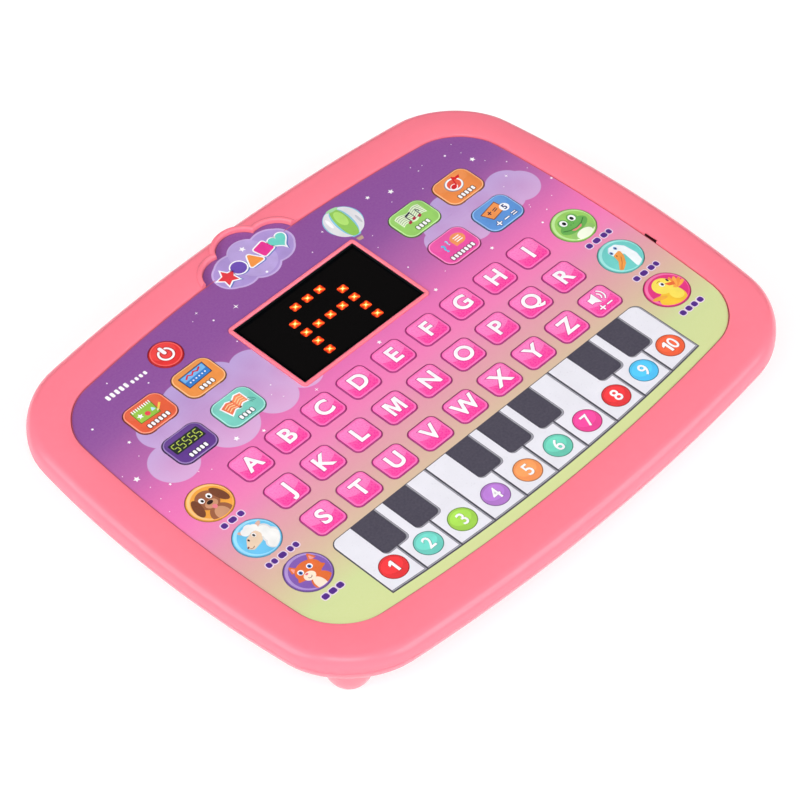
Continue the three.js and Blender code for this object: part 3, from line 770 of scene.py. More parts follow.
def front_casing():
    outer = [ring(BODY, 0.3, Z_SEAM), ring(BODY, 0.0, Z_SEAM + 0.28)]
    for k in range(0, 13):
        a = math.pi / 2 * k / 12
        outer.append(ring(BODY, 5 - 5 * math.cos(a), 21.3 + 5 * math.sin(a)))
    crown, edge = ring(BODY, 10.5, Z_CROWN), ring(FILM, -0.5, 26.26)
    outer += [ring(BODY, 6.5, 26.42), ring(BODY, 8.5, 26.54), crown, mid(crown, edge, 0.4, 26.58), mid(crown, edge, 0.75, 26.43), edge]
    outer += [ring(FILM, -0.22, 26.22), ring(FILM, -0.06, 26.1), ring(FILM, 0, 25.94), ring(FILM, 0, Z_DECK1)]
    ob = solid(outer)
    for x, y, r in LOBES:
        top = lathe_rings(x, y, [(r + 2.1, 22.5), (r + 2.1, 26.35), (r + 2.0, 26.7), (r + 1.75, 27.0), (r + 1.35, 27.2), (r + 0.9, Z_RIM)], 96)
        boolean(ob, solid(top), "UNION")
    hollow = solid([ring(BODY, WALL, Z_SEAM - 1), ring(BODY, WALL + 0.2, 22.2), ring(BODY, 6.2, 24.3), ring(BODY, 12.5, 24.4), ring(FILM, -1.8, 24.4), ring(FILM, -1.8, Z_DECK0)])
    for x, y, r in LOBES:
        boolean(hollow, solid((circle(x, y, r + 1.6, 64), 21.8, 30)))
    boolean(ob, hollow)
    for x, y, r in LOBES:
        pit = lathe_rings(x, y, [(r, Z_DECK1), (r, 26.55), (r + 0.12, 26.9), (r + 0.4, 27.15), (r + 0.8, 27.32), (r + 0.8, 28)], 96)
        boolean(ob, solid(pit))
    boolean(ob, solid([ring(FILM, 0, Z_DECK1 + 0.001), ring(FILM, 0, 40)]))
    # lip round the display
    lip = Build()
    rings = []
    for e, z in ((0, Z_DECK0 + 0.2), (0, 25.75), (-0.1, 26.0), (-0.32, 26.16), (-0.6, Z_LIP), (-0.95, Z_LIP), (-1.2, 26.14), (-1.42, 25.95), (-1.5, 25.7), (-1.5, Z_DECK0 + 0.2)):
        rings.append([(x, y, z) for x, y in round_rect(0, Y(LIP_V), LIP_W + 2 * e, LIP_H + 2 * e, max(0.15, 1.6 + e), 6)])
    lip.loft(rings, None, closed=True)
    boolean(ob, lip.raw(), "UNION")
    boolean(ob, solid((box_poly(-28.6, 28.6, Y(LIP_V) - 16.6, Y(LIP_V) + 16.6), 10, 40)))
    boolean(ob, solid((box_poly(-59.5, -44.5, 12.9, 15.6), 15, 40)))
    boolean(ob, solid((round_rect(106.85, -21.4, 0.8, 6.0, 0.3, 4), 21, 40)))
    for x, y in POSTS:
        boolean(ob, solid((circle(x, y, 3.6, 32), 12.0, Z_DECK0 + 0.5)), "UNION")
    cut = [(circle(x, y, 1.5, 20), 11, 19.6) for x, y in POSTS]
    boolean(ob, solid(*cut))
    return claim(ob, "casing_front", shell, "casing", "front_casing", 30)


def door_poly(e, n=8):
    dx, dy = DOOR_SCREW
    x0, x1, y0, y1 = BAY["x0"] - 0.9 - e, BAY["x1"] + 0.9 + e, BAY["y0"] - 0.9 - e, BAY["y1"] + 0.9 + e
    r, t = 2 + e, 6 + e
    out = arc(x1 - r, y0 + r, r, -90, 0, n)
    out += [(x1, dy - t)] + arc(dx, dy, t, -90, 90, 24) + [(x1, dy + t)]
    out += arc(x1 - r, y1 - r, r, 0, 90, n) + arc(x0 + r, y1 - r, r, 90, 180, n) + arc(x0 + r, y0 + r, r, 180, 270, n)
    return out


def rear_casing():
    hull = [ring(BODY, 21.2, Z_BOTTOM), ring(BODY, 20.3, Z_BOTTOM + 0.04), ring(BODY, 18.6, 4.3), ring(BODY, 17.2, 4.75), ring(BODY, 15.4, 5.7), ring(BODY, 12.8, 7.55),
            ring(BODY, 10, 9.75), ring(BODY, 7.4, 11.75), ring(BODY, 5.0, 13.55), ring(BODY, 2.9, 15.1), ring(BODY, 1.9, 16.0), ring(BODY, 1.1, 17.0),
            ring(BODY, 0.55, 18.1), ring(BODY, 0.15, 19.3), ring(BODY, 0.0, 20.1), ring(BODY, 0.3, Z_SEAM - 0.05)]
    ob = solid(hull)
    foot = [(0.001, 0), (4.6, 0), (5.2, 0.08), (5.9, 0.4), (7.0, 1.4), (8.1, 3.6), (9.2, 7), (10.4, 12), (0.001, 12)]
    for x, y in FEET:
        boolean(ob, solid(lathe_rings(x, y, foot, 56)), "UNION")
    boolean(ob, solid([ring(BODY, 22, Z_FLOOR), ring(BODY, 18.6, 6.6), ring(BODY, 11.4, 11.4), ring(BODY, 4.7, 16.3), ring(BODY, 3.0, 18.2), ring(BODY, WALL + 0.1, 20.0), ring(BODY, WALL, Z_SEAM + 2)]))
    dx, dy = DOOR_SCREW
    adds = [(box_poly(BAY["x0"] - BAY_WALL, BAY["x1"] + BAY_WALL, BAY["y0"] - BAY_WALL, BAY["y1"] + BAY_WALL), Z_BOTTOM + 0.5, BAY["z1"] + 1.1)]
    adds += [(circle(x, y, 4.6, 32), Z_BOTTOM + 0.5, 11.9) for x, y in POSTS]
    adds += [(circle(x, y, 2.6, 20), Z_BOTTOM + 1, PCB["z0"] - 0.1) for x, y in ((-46, 21.5), (46, 21.5), (-46, 53.5), (46, 53.5))]
    boolean(ob, solid(*adds), "UNION")
    boolean(ob, solid((circle(dx, dy, 4.2, 32), Z_BOTTOM + 0.5, 13)), "UNION")
    boolean(ob, solid((box_poly(BAY["x1"], dx, dy - 4.2, dy + 4.2), Z_BOTTOM + 0.5, 9.5)), "UNION")
    cup = Build()
    cup.plate(circle(*SPEAKER, SPEAKER_R + 2, 64), Z_BOTTOM + 1, 8.6, None, [circle(*SPEAKER, SPEAKER_R + 0.7, 64)])
    boolean(ob, cup.raw(), "UNION")
    boolean(ob, solid((box_poly(BAY["x0"], BAY["x1"], BAY["y0"], BAY["y1"]), 0, BAY["z1"])))
    boolean(ob, solid((door_poly(0.35), 0, 5.85)))
    boolean(ob, solid((circle(dx, dy, 1.35, 20), 0, 12), *[(circle(x, y, 3.1, 32), 0, 9.0) for x, y in POSTS]))
    boolean(ob, solid(*[(circle(x, y, 1.6, 20), 0, 14) for x, y in POSTS]))
    slots = []
    for o in (-10, -5, 0, 5, 10):
        w = 2 * math.sqrt(16.5 * 16.5 - o * o) - 4
        slots.append((round_rect(SPEAKER[0], SPEAKER[1] + o, w, 2.2, 1.05, 6), 0, 8))
    boolean(ob, solid(*slots))
    return claim(ob, "casing_rear", shell, "casing", "rear_casing", 30)


def battery_door():
    dx, dy = DOOR_SCREW
    b = Build()
    prof = [(-0.35, Z_BOTTOM), (-0.1, Z_BOTTOM + 0.08), (0.0, Z_BOTTOM + 0.32), (0.0, 5.6)]
    b.loft([[(x, y, z) for x, y in door_poly(e)] for e, z in prof], None)
    ob = b.raw()
    grooves = [(round_rect(-23.4 + k * 2.4, dy, 1.2, 18, 0.55, 5), 0, Z_BOTTOM + 0.5) for k in range(5)]
    grooves.append((fillet([(-11.0, dy - 3.2, 0.5), (-11.0, dy + 3.2, 0.5), (-6.6, dy, 0.5)]), 0, Z_BOTTOM + 0.3))
    boolean(ob, solid(*grooves))
    boolean(ob, solid((circle(dx, dy, 3.0, 40), 0, Z_BOTTOM + 0.95)))
    boolean(ob, solid((circle(dx, dy, 1.4, 24), 0, 10)))
    return claim(ob, "door_battery", shell, "battery_door", "battery_door", 28)


def screw(name, node, body, x, y, z, head_r, head_h, shaft_r, length, material):
    prof = [(head_r * 0.55, z), (head_r - 0.5, z + 0.07), (head_r - 0.15, z + 0.28), (head_r, z + 0.6), (head_r, z + head_h), (shaft_r, z + head_h)]
    k, zz = 0, z + head_h + 0.3
    while zz < z + length - 1.2:
        prof += [(shaft_r, zz), (shaft_r + 0.16, zz + 0.22), (shaft_r, zz + 0.44)]
        zz += 0.8
    prof += [(shaft_r, z + length - 1), (0.3, z + length)]
    ob = solid(lathe_rings(x, y, prof, 36))
    for w, h in ((head_r * 1.24, 0.7), (0.7, head_r * 1.24)):
        boolean(ob, solid((box_poly(x - w / 2, x + w / 2, y - h / 2, y + h / 2), z - 1, z + 0.5)))
    return claim(ob, name, material, body, node, 30)


# ------------------------------------------------------------------ pads
LETTERS = "abcdefghijklmnopqrstuvwxyz"


def letter_centre(i):
    return X((i % 9) - 4), Y(1 - i // 9)


def piano_poly(i, e, corner=0.0):
    """Outline of white key i, pulled in by e."""
    x0, x1 = DIVIDER[i - 1] + e, DIVIDER[i] - e
    top, notch, half = PIANO_TOP - e, BLACK_END - e, BLACK_HALF + e
    pts = [(x0, piano_bottom(x0) + e, 0), (x1, piano_bottom(x1) + e, 0)]
    if i in BLACK_AFTER:
        pts += [(x1, notch, 0), (DIVIDER[i] - half, notch, corner), (DIVIDER[i] - half, top, 0)]
    else:
        pts.append((x1, top, 3.5 - e if i == 10 else 0))
    if (i - 1) in BLACK_AFTER:
        pts += [(DIVIDER[i - 1] + half, top, 0), (DIVIDER[i - 1] + half, notch, corner), (x0, notch, 0)]
    else:
        pts.append((x0, top, 3.5 - e if i == 1 else 0))
    return fillet(pts, 6)


MODES = {-1: ([-4.455, -3.13], [3.42, 2.27]), 1: ([3.11, 4.43], [3.42, 2.27])}
ANIMALS = {-1: [(-5.25, 0.87), (-5.24, -0.435), (-5.155, -1.755)], 1: [(5.25, 0.87), (5.255, -0.45), (5.185, -1.78)]}


def mode_web(side, e, z0, z1, keys=True):
    us, vs = MODES[side]
    e2 = min(e, 0.03)
    bars = [box_poly(X(u) - 3.5 - e2, X(u) + 3.5 + e2, Y(vs[1]), Y(vs[0])) for u in us]
    vm = Y((vs[0] + vs[1]) / 2)
    ob = solid(*[(b, z0, z1) for b in bars])
    boolean(ob, solid((box_poly(X(us[0]), X(us[1]), vm - 1.8 - e2, vm + 1.8 + e2), z0, z1)), "UNION")
    if keys:
        for u in us:
            for v in vs:
                boolean(ob, solid((round_rect(X(u), Y(v), MODE_W + 2 * e, MODE_H + 2 * e, MODE_R + e, 8), z0, z1)), "UNION")
    return ob


def animal_web(side, e, z0, z1):
    at = ANIMALS[side]
    ob = solid(*[(circle(X(u), Y(v), ANIMAL_R + e, 72), z0, z1) for u, v in at])
    for a, b in zip(at, at[1:]):
        w = 2.2 + min(e, 0.03)
        boolean(ob, solid(([(X(b[0]) - w, Y(b[1])), (X(b[0]) + w, Y(b[1])), (X(a[0]) + w, Y(a[1])), (X(a[0]) - w, Y(a[1]))], z0, z1)), "UNION")
    return ob


def film():
    ob = solid([ring(FILM, 0.25, Z_FILM0), ring(FILM, 0.25, Z_FILM1)])
    for x, y, r in LOBES:
        boolean(ob, solid((circle(x, y, r - 0.25, 96), Z_FILM0, Z_FILM1)), "UNION")
    boolean(ob, solid((round_rect(0, Y(LIP_V), LIP_W + 0.2, LIP_H + 0.2, 1.7, 6), 0, 40)))
    cuts = [(round_rect(*letter_centre(i), KEY_W + 2 * SLIT, KEY_H + 2 * SLIT, KEY_R + SLIT), 20, 30) for i in range(27)]
    cuts.append((circle(X(-3.14), Y(4.37), POWER_R + SLIT, 72), 20, 30))
    boolean(ob, solid(*cuts))
    boolean(ob, solid(*[(piano_poly(i, 0.08, 1.94), 20, 30) for i in range(1, 11)]))
    for side in (-1, 1):
        boolean(ob, mode_web(side, SLIT, 20, 30))
        boolean(ob, animal_web(side, SLIT, 20, 30))
    return claim(ob, "film_face", film_mat, "casing", "graphic_overlay", 30)


def bars(b, cx, cy, n, w, h, gap, z0, z1, material, halo=None, skew=0.0):
    """Row of short rounded dashes in place of a word."""
    x = cx - (n * w + (n - 1) * gap) / 2 + w / 2
    for k in range(n):
        poly = round_rect(x, cy, w, h, min(w, h) * 0.38, 5)
        if halo:
            b.plate(grow(poly, 0.32), z0, z1, halo)
        b.plate(poly, z0 + 0.01, z1 + 0.03, material)
        x += w + gap


def key_pad(i):
    x, y = letter_centre(i)
    b = Build()
    rr = lambda e: round_rect(x, y, KEY_W + 2 * e, KEY_H + 2 * e, max(0.5, KEY_R + e), 8)
    prof = [(0, Z_KEY0, key_edge), (0, 25.36, key_edge), (-0.14, 25.52, key_edge), (-0.5, 25.62, key_band), (-0.85, 25.67, key_band), (-1.2, 25.69, key_face)]
    rings = [[(px, py, z) for px, py in rr(e)] for e, z, _ in prof]
    b.loft(rings, key_face, bands=[prof[k][2] for k in range(len(prof) - 1)], cap_material=key_face)
    z = 25.69
    cx, cy = x + 0.35, y + 0.2
    if i < 26:
        t = LETTERS[i].upper()
        if t in GLYPHS:
            b.glyph(t, cx, cy, 6.85, z - 0.05, z + 0.03, key_letter_edge, 0.3)
            b.glyph(t, cx, cy, 6.85, z - 0.04, z + 0.07, white_ink)
        else:
            b.text(t, cx, cy, 7.5, z - 0.05, z + 0.03, key_letter_edge, bold=0.056)
            b.text(t, cx, cy, 6.9, z - 0.04, z + 0.07, white_ink, bold=0.028)
    else:
        for w, m, h in ((0.5, key_letter_edge, 0.03), (0.0, white_ink, 0.07)):
            sp = [(x - 3.4, y + 0.6), (x - 1.9, y + 0.6), (x + 0.2, y - 0.9), (x + 0.2, y + 4.7), (x - 1.9, y + 3.2), (x - 3.4, y + 3.2)]
            b.plate(grow(sp, w * 0.5), z - 0.05, z + h, m)
            for r in (1.7, 3.1):
                b.plate(stroke(arc(x + 0.4, y + 1.9, r, -48, 48, 10), 0.62 + w, 6), z - 0.05, z + h, m)
            b.plate(stroke([(x - 2.9, y - 3.0), (x - 0.6, y - 3.0)], 0.6 + w), z - 0.05, z + h, m)
            b.plate(stroke([(x - 1.75, y - 4.15), (x - 1.75, y - 1.85)], 0.6 + w), z - 0.05, z + h + 0.005, m)
            b.plate(stroke([(x + 0.7, y - 3.0), (x + 3.0, y - 3.0)], 0.6 + w), z - 0.05, z + h, m)
    node = "key_" + LETTERS[i] if i < 26 else "key_volume"
    return b.object("pad_" + node[4:], node, "key_pink", node, origin=(x, y, Z_KEY1), angle=40)


NUMBERS = [
    (-3.946, -2.856, (229, 60, 64)), (-3.066, -2.928, (112, 203, 190)), (-2.18, -2.989, (160, 208, 84)), (-1.276, -3.017, (176, 120, 200)),
    (-0.387, -3.047, (243, 150, 92)), (0.493, -3.043, (108, 200, 178)), (1.375, -3.02, (238, 76, 152)), (2.272, -2.991, (228, 62, 66)),
    (3.162, -2.935, (84, 190, 240)), (4.043, -2.867, (238, 100, 66)),
]


def piano_pad(i):
    b = Build()
    z = 25.60
    base = piano_poly(i, 0.16, 2.02)
    b.loft([[(x, y, Z_KEY0) for x, y in base], [(x, y, 25.46) for x, y in base], [(x, y, z) for x, y in piano_poly(i, 0.26, 2.12)]], grey_line)
    g = 0.34
    side = 0.42
    b.plate(piano_poly(i, g, 2.2), z - 0.02, z + 0.025, grey_side)
    # white top, held back from the right, the bottom and the right-hand side of a black key
    x0, x1 = DIVIDER[i - 1] + g, DIVIDER[i] - g - side - 0.16
    top, notch = PIANO_TOP - g, BLACK_END - g - side - 0.16
    low = g + side + 0.16
    pts = [(x0, piano_bottom(x0) + low, 0), (x1, piano_bottom(x1) + low, 0)]
    if i in BLACK_AFTER:
        pts += [(x1, notch, 0), (DIVIDER[i] - BLACK_HALF - g, notch, 2.2), (DIVIDER[i] - BLACK_HALF - g, top, 0)]
    else:
        pts.append((x1, top, 3.1 if i == 10 else 0))
    if (i - 1) in BLACK_AFTER:
        bx = DIVIDER[i - 1] + BLACK_HALF + g + side + 0.16
        pts += [(bx, top, 0), (bx, notch, 2.2), (x0, notch, 0)]
    else:
        pts.append((x0, top, 3.1 if i == 1 else 0))
    b.plate(grow(fillet(pts, 6), 0.14), z - 0.01, z + 0.045, grey_line)
    b.plate(fillet(pts, 6), z, z + 0.07, ivory)
    u, v, c = NUMBERS[i - 1]
    cx, cy = X(u), Y(v)
    zt = z + 0.07
    b.plate(circle(cx, cy, 5.3, 56), zt - 0.03, zt + 0.02, ink(shade(c, 0.62)))
    disc = ink(c)
    b.plate(circle(cx, cy, 4.98, 56), zt - 0.02, zt + 0.04, disc)
    b.plate(circle(cx, cy + 0.9, 3.2, 40, rx=4.1), zt, zt + 0.05, ink(shade(c, 1.09)))
    s = str(i)
    if i in (1, 10):
        off = -1.55 if i == 10 else 0.0
        b.glyph("1", cx + 0.1 + off + 0.1, cy + 0.1, 5.2, zt, zt + 0.06, ink(shade(c, 0.78)), 0.2)
        b.glyph("1", cx + 0.1 + off, cy + 0.15, 5.2, zt, zt + 0.09, white_ink)
        s, cx = s[1:], cx + 1.35
    if s:
        b.text(s, cx + 0.3, cy + 0.1, 5.5, zt, zt + 0.06, ink(shade(c, 0.78)), bold=0.03, squeeze=0.9)
        b.text(s, cx + 0.2, cy + 0.15, 5.3, zt, zt + 0.09, white_ink, bold=0.014, squeeze=0.9)
    return b.object("pad_piano_%d" % i, "piano_key_%d" % i, "piano_white", "piano_key_%d" % i, angle=40)


def power_pad():
    x, y = X(-3.14), Y(4.37)
    b = Build()
    red, dark, lite = ink((229, 58, 58)), ink((168, 26, 34)), ink((240, 98, 96))
    prof = [(0, Z_KEY0, dark), (0, 25.36, dark), (-0.12, 25.52, dark), (-0.36, 25.63, dark), (-0.62, 25.67, lite), (-1.15, 25.69, red)]
    rings = [[(px, py, z) for px, py in circle(x, y, POWER_R + e, 72)] for e, z, _ in prof]
    b.loft(rings, red, bands=[p[2] for p in prof[:-1]], cap_material=red)
    z = 25.69
    b.plate(circle(x, y + 1.4, 3.6, 48, rx=4.9), z - 0.03, z + 0.015, ink((236, 74, 72)))
    for w, m, h in ((0.75, ink((190, 34, 40)), 0.03), (0.0, white_ink, 0.06)):
        b.plate(stroke(arc(x, y - 0.1, 2.75, 122, 418, 40), 0.85 + w), z - 0.02, z + h, m)
        b.plate(stroke([(x, y + 0.7), (x, y + 3.3)], 1.5 + w), z - 0.02, z + h + 0.01, m)
    return b.object("pad_power", "power_key", "power_red", "power_key", origin=(x, y, Z_KEY1), angle=40)


def mode_icon(b, kind, x, y, z):
    """Generic pictures on the mode keys, drawn as thin ink layers."""
    w = white_ink
    dark = ink((52, 40, 70))
    if kind == "pad":  # note pad and pencil
        b.plate(grow([(x - 5.3, y - 2.2), (x + 3.0, y - 2.6), (x + 3.6, y + 3.4), (x - 5.0, y + 3.6)], 0.3), z, z + 0.02, ink((96, 120, 40)))
        b.plate([(x - 5.3, y - 2.2), (x + 3.0, y - 2.6), (x + 3.6, y + 3.4), (x - 5.0, y + 3.6)], z, z + 0.04, ink((152, 196, 74)))
        for k in range(9):
            b.plate(stroke([(x - 4.5 + k * 0.98, y + 3.0), (x - 4.4 + k * 0.98, y + 4.1)], 0.42), z, z + 0.07, w)
        b.plate(star(x - 3.5, y + 0.4, 1.35), z, z + 0.07, w)
        b.plate(circle(x - 0.7, y - 0.4, 1.05, 28), z, z + 0.07, ink((232, 76, 88)))
        b.plate(fillet([(x + 1.0, y - 0.7, 0.3), (x + 3.0, y - 0.7, 0.3), (x + 2.0, y + 1.3, 0.3)]), z, z + 0.07, ink((186, 232, 240)))
        b.plate([(x + 3.0, y - 1.2), (x + 3.5, y - 1.7), (x + 5.9, y + 0.2), (x + 5.4, y + 0.9)], z, z + 0.08, ink((246, 208, 88)))
        b.plate([(x + 2.4, y - 2.0), (x + 3.5, y - 1.7), (x + 3.0, y - 1.2)], z, z + 0.085, ink((250, 232, 200)))
    elif kind == "screen":  # small blue screen
        q = [(x - 5.4, y - 2.3), (x + 5.3, y - 1.7), (x + 5.6, y + 3.6), (x - 5.6, y + 3.2)]
        b.plate(grow(q, 0.32), z, z + 0.02, dark)
        b.plate(q, z, z + 0.04, ink((60, 126, 204)))
        b.plate([(x - 5.2, y + 0.4), (x + 5.2, y + 0.9), (x + 5.3, y + 3.3), (x - 5.2, y + 2.9)], z, z + 0.05, ink((122, 184, 236)))
        b.plate(stroke([(x - 3.6, y + 1.5), (x - 2.2, y + 2.5), (x - 0.8, y + 1.6), (x + 0.6, y + 2.6), (x + 2.0, y + 1.8), (x + 3.4, y + 2.7)], 0.7), z, z + 0.08, ink((214, 44, 60)))
        for k in range(6):
            b.plate(circle(x - 3.6 + k * 1.45, y - 0.7 + k * 0.07, 0.33, 14), z, z + 0.08, w)
    elif kind == "lcd":  # dark panel with green segment bars
        q = round_rect(x, y + 0.7, 13.6, 5.4, 0.5, 4)
        b.plate(q, z, z + 0.03, ink((44, 50, 48)))
        g = ink((196, 214, 92), 0.35)
        for k in range(5):
            cx = x - 5.1 + k * 2.55
            b.plate(stroke([(cx - 0.6, y + 2.5), (cx + 0.6, y + 2.5)], 0.34, 4), z, z + 0.06, g)
            b.plate(stroke([(cx - 0.6, y - 1.1), (cx + 0.6, y - 1.1)], 0.34, 4), z, z + 0.06, g)
            b.plate(stroke([(cx - 0.85, y + 1.0), (cx - 0.85, y + 2.2)], 0.34, 4), z, z + 0.06, g)
            b.plate(stroke([(cx + 0.85, y - 0.8), (cx + 0.85, y + 0.4)], 0.34, 4), z, z + 0.06, g)
            b.plate(stroke([(cx - 0.55, y + 0.7), (cx + 0.55, y + 0.7)], 0.34, 4), z, z + 0.06, g)
    elif kind == "book":  # open book and sound waves
        left = [(x - 5.0, y + 2.4), (x - 2.0, y + 3.4), (x + 0.1, y + 2.5), (x + 0.5, y - 1.4), (x - 1.4, y - 0.9), (x - 4.0, y - 2.3)]
        right = [(x + 0.1, y + 2.5), (x + 2.5, y + 3.9), (x + 4.6, y + 3.4), (x + 4.7, y - 0.9), (x + 2.4, y - 0.4), (x + 0.5, y - 1.4)]
        for q in (left, right):
            b.plate(grow(q, 0.55), z, z + 0.02, w)
        b.plate(left, z, z + 0.04, ink((236, 120, 84)))
        b.plate(right, z, z + 0.04, ink((244, 138, 96)))
        for k in range(3):
            dy = -0.1 - k * 1.1
            b.plate(stroke([(x - 4.0 + k * 0.2, y + 1.6 + dy), (x - 2.0, y + 2.3 + dy), (x - 0.3, y + 1.7 + dy)], 0.34, 4), z, z + 0.06, ink((250, 214, 160)))
            b.plate(stroke([(x + 0.7, y + 1.8 + dy), (x + 2.5, y + 2.7 + dy), (x + 4.1, y + 2.3 + dy)], 0.34, 4), z, z + 0.06, ink((250, 214, 160)))
        for r in (0.9, 1.7, 2.5):
            b.plate(stroke(arc(x + 4.4, y - 2.7, r, 5, 75, 8), 0.34, 4), z, z + 0.05, ink((84, 150, 140)))
    elif kind == "staff":  # staff lines with notes
        q = [(x - 6.0, y - 1.6)] + [(x - 6.0 + 12.0 * k / 12, y - 1.6 + 0.7 * math.sin(k * 0.8)) for k in range(1, 13)]
        q += [(x + 6.0 - 12.0 * k / 12, y + 3.6 + 0.6 * math.sin((12 - k) * 0.8)) for k in range(0, 13)]
        b.plate(q, z, z + 0.02, ink((226, 240, 206)))
        for j in range(5):
            b.plate(stroke([(x - 5.6 + 11.2 * k / 10, y - 0.8 + j * 0.95 + 0.5 * math.sin(k * 0.95)) for k in range(11)], 0.22, 4), z, z + 0.035, ink((128, 150, 120)))
        for cx, cy in ((x - 2.6, y - 1.4), (x - 0.1, y - 0.8), (x + 2.4, y - 1.2)):
            b.plate(circle(cx, cy, 0.62, 24, rx=0.85, rot=0.35), z, z + 0.075, ink((176, 52, 70)))
            b.plate(stroke([(cx + 0.7, cy), (cx + 0.8, cy + 3.4)], 0.32, 4), z, z + 0.065, dark)
        b.plate(stroke([(x - 1.8, y + 2.0), (x + 0.7, y + 2.6)], 0.7, 4), z, z + 0.07, dark)
        b.plate(stroke([(x + 3.2, y + 2.2), (x + 3.9, y + 1.5), (x + 4.0, y + 0.7)], 0.34, 4), z, z + 0.07, dark)
    elif kind == "disc":  # note on a disc
        b.plate(circle(x - 0.4, y + 0.8, 3.5, 56, rx=3.9), z, z + 0.02, ink((150, 140, 150)))
        b.plate(circle(x - 0.2, y + 0.9, 3.2, 56, rx=3.6), z, z + 0.035, w)
        b.plate(circle(x - 0.2, y + 0.9, 2.5, 48, rx=2.9), z, z + 0.05, ink((228, 92, 70)))
        red = ink((214, 40, 48))
        b.plate(circle(x - 1.2, y - 0.1, 1.35, 32, rx=1.7, rot=0.3), z, z + 0.07, w)
        b.plate(circle(x - 1.2, y - 0.1, 1.0, 32, rx=1.35, rot=0.3), z, z + 0.085, red)
        b.plate(stroke([(x + 0.1, y + 0.1), (x + 1.7, y + 4.2)], 0.62, 4), z, z + 0.08, red)
        b.plate([(x + 1.6, y + 4.4), (x + 2.6, y + 3.4), (x + 4.8, y + 3.4), (x + 4.0, y + 2.3), (x + 2.0, y + 2.3), (x + 1.1, y + 3.2)], z, z + 0.082, red)
    elif kind == "ask":  # question marks and a bubble
        b.text("?", x - 3.6, y + 0.1, 4.0, z, z + 0.05, ink((92, 190, 230)), bold=0.03)
        b.text("?", x - 1.0, y + 1.6, 2.6, z, z + 0.05, ink((150, 214, 240)), bold=0.03)
        b.plate(circle(x + 3.3, y + 0.7, 2.75, 48, rx=3.1), z, z + 0.04, ink((240, 150, 96)))
        b.plate([(x + 0.3, y + 1.0), (x + 0.3, y - 2.0), (x + 3.2, y - 1.9)], z, z + 0.038, ink((240, 150, 96)))
        for k in range(3):
            b.plate(stroke([(x + 2.0, y + 1.7 - k * 1.05), (x + 4.7, y + 1.7 - k * 1.05)], 0.42, 4), z, z + 0.07, w)
    elif kind == "sums":  # board with signs and a number
        q = [(x - 5.2, y + 2.3), (x + 2.9, y + 3.8), (x + 3.6, y - 0.9), (x - 3.4, y - 2.2)]
        b.plate(grow(q, 0.35), z, z + 0.02, ink((120, 62, 30)))
        b.plate(q, z, z + 0.04, ink((240, 150, 84)))
        b.plate(stroke([(x - 3.2, y + 0.8), (x - 1.6, y + 1.1)], 0.45, 4), z, z + 0.065, dark)
        b.plate(stroke([(x - 2.5, y + 0.15), (x - 2.3, y + 1.75)], 0.45, 4), z, z + 0.07, dark)
        b.plate(stroke([(x - 0.5, y + 1.2), (x + 1.2, y + 1.5)], 0.4, 4), z, z + 0.065, dark)
        b.plate(stroke([(x - 0.4, y + 0.4), (x + 1.3, y + 0.7)], 0.4, 4), z, z + 0.065, dark)
        b.plate(circle(x + 3.9, y - 0.5, 1.95, 40), z, z + 0.055, w)
        b.text("5", x + 3.9, y - 0.5, 2.6, z, z + 0.075, ink((40, 60, 120)), bold=0.03)


MODE_ART = {
    (-4.455, 3.42): ((229, 98, 66), "pad", 6), (-3.13, 3.42): ((234, 146, 74), "screen", 4),
    (-4.455, 2.27): ((98, 62, 140), "lcd", 5), (-3.13, 2.27): ((122, 204, 190), "book", 4),
    (3.11, 3.42): ((150, 204, 104), "staff", 4), (4.43, 3.42): ((236, 140, 76), "disc", 5),
    (3.11, 2.27): ((236, 84, 164), "ask", 7), (4.43, 2.27): ((96, 148, 214), "sums", 3),
}


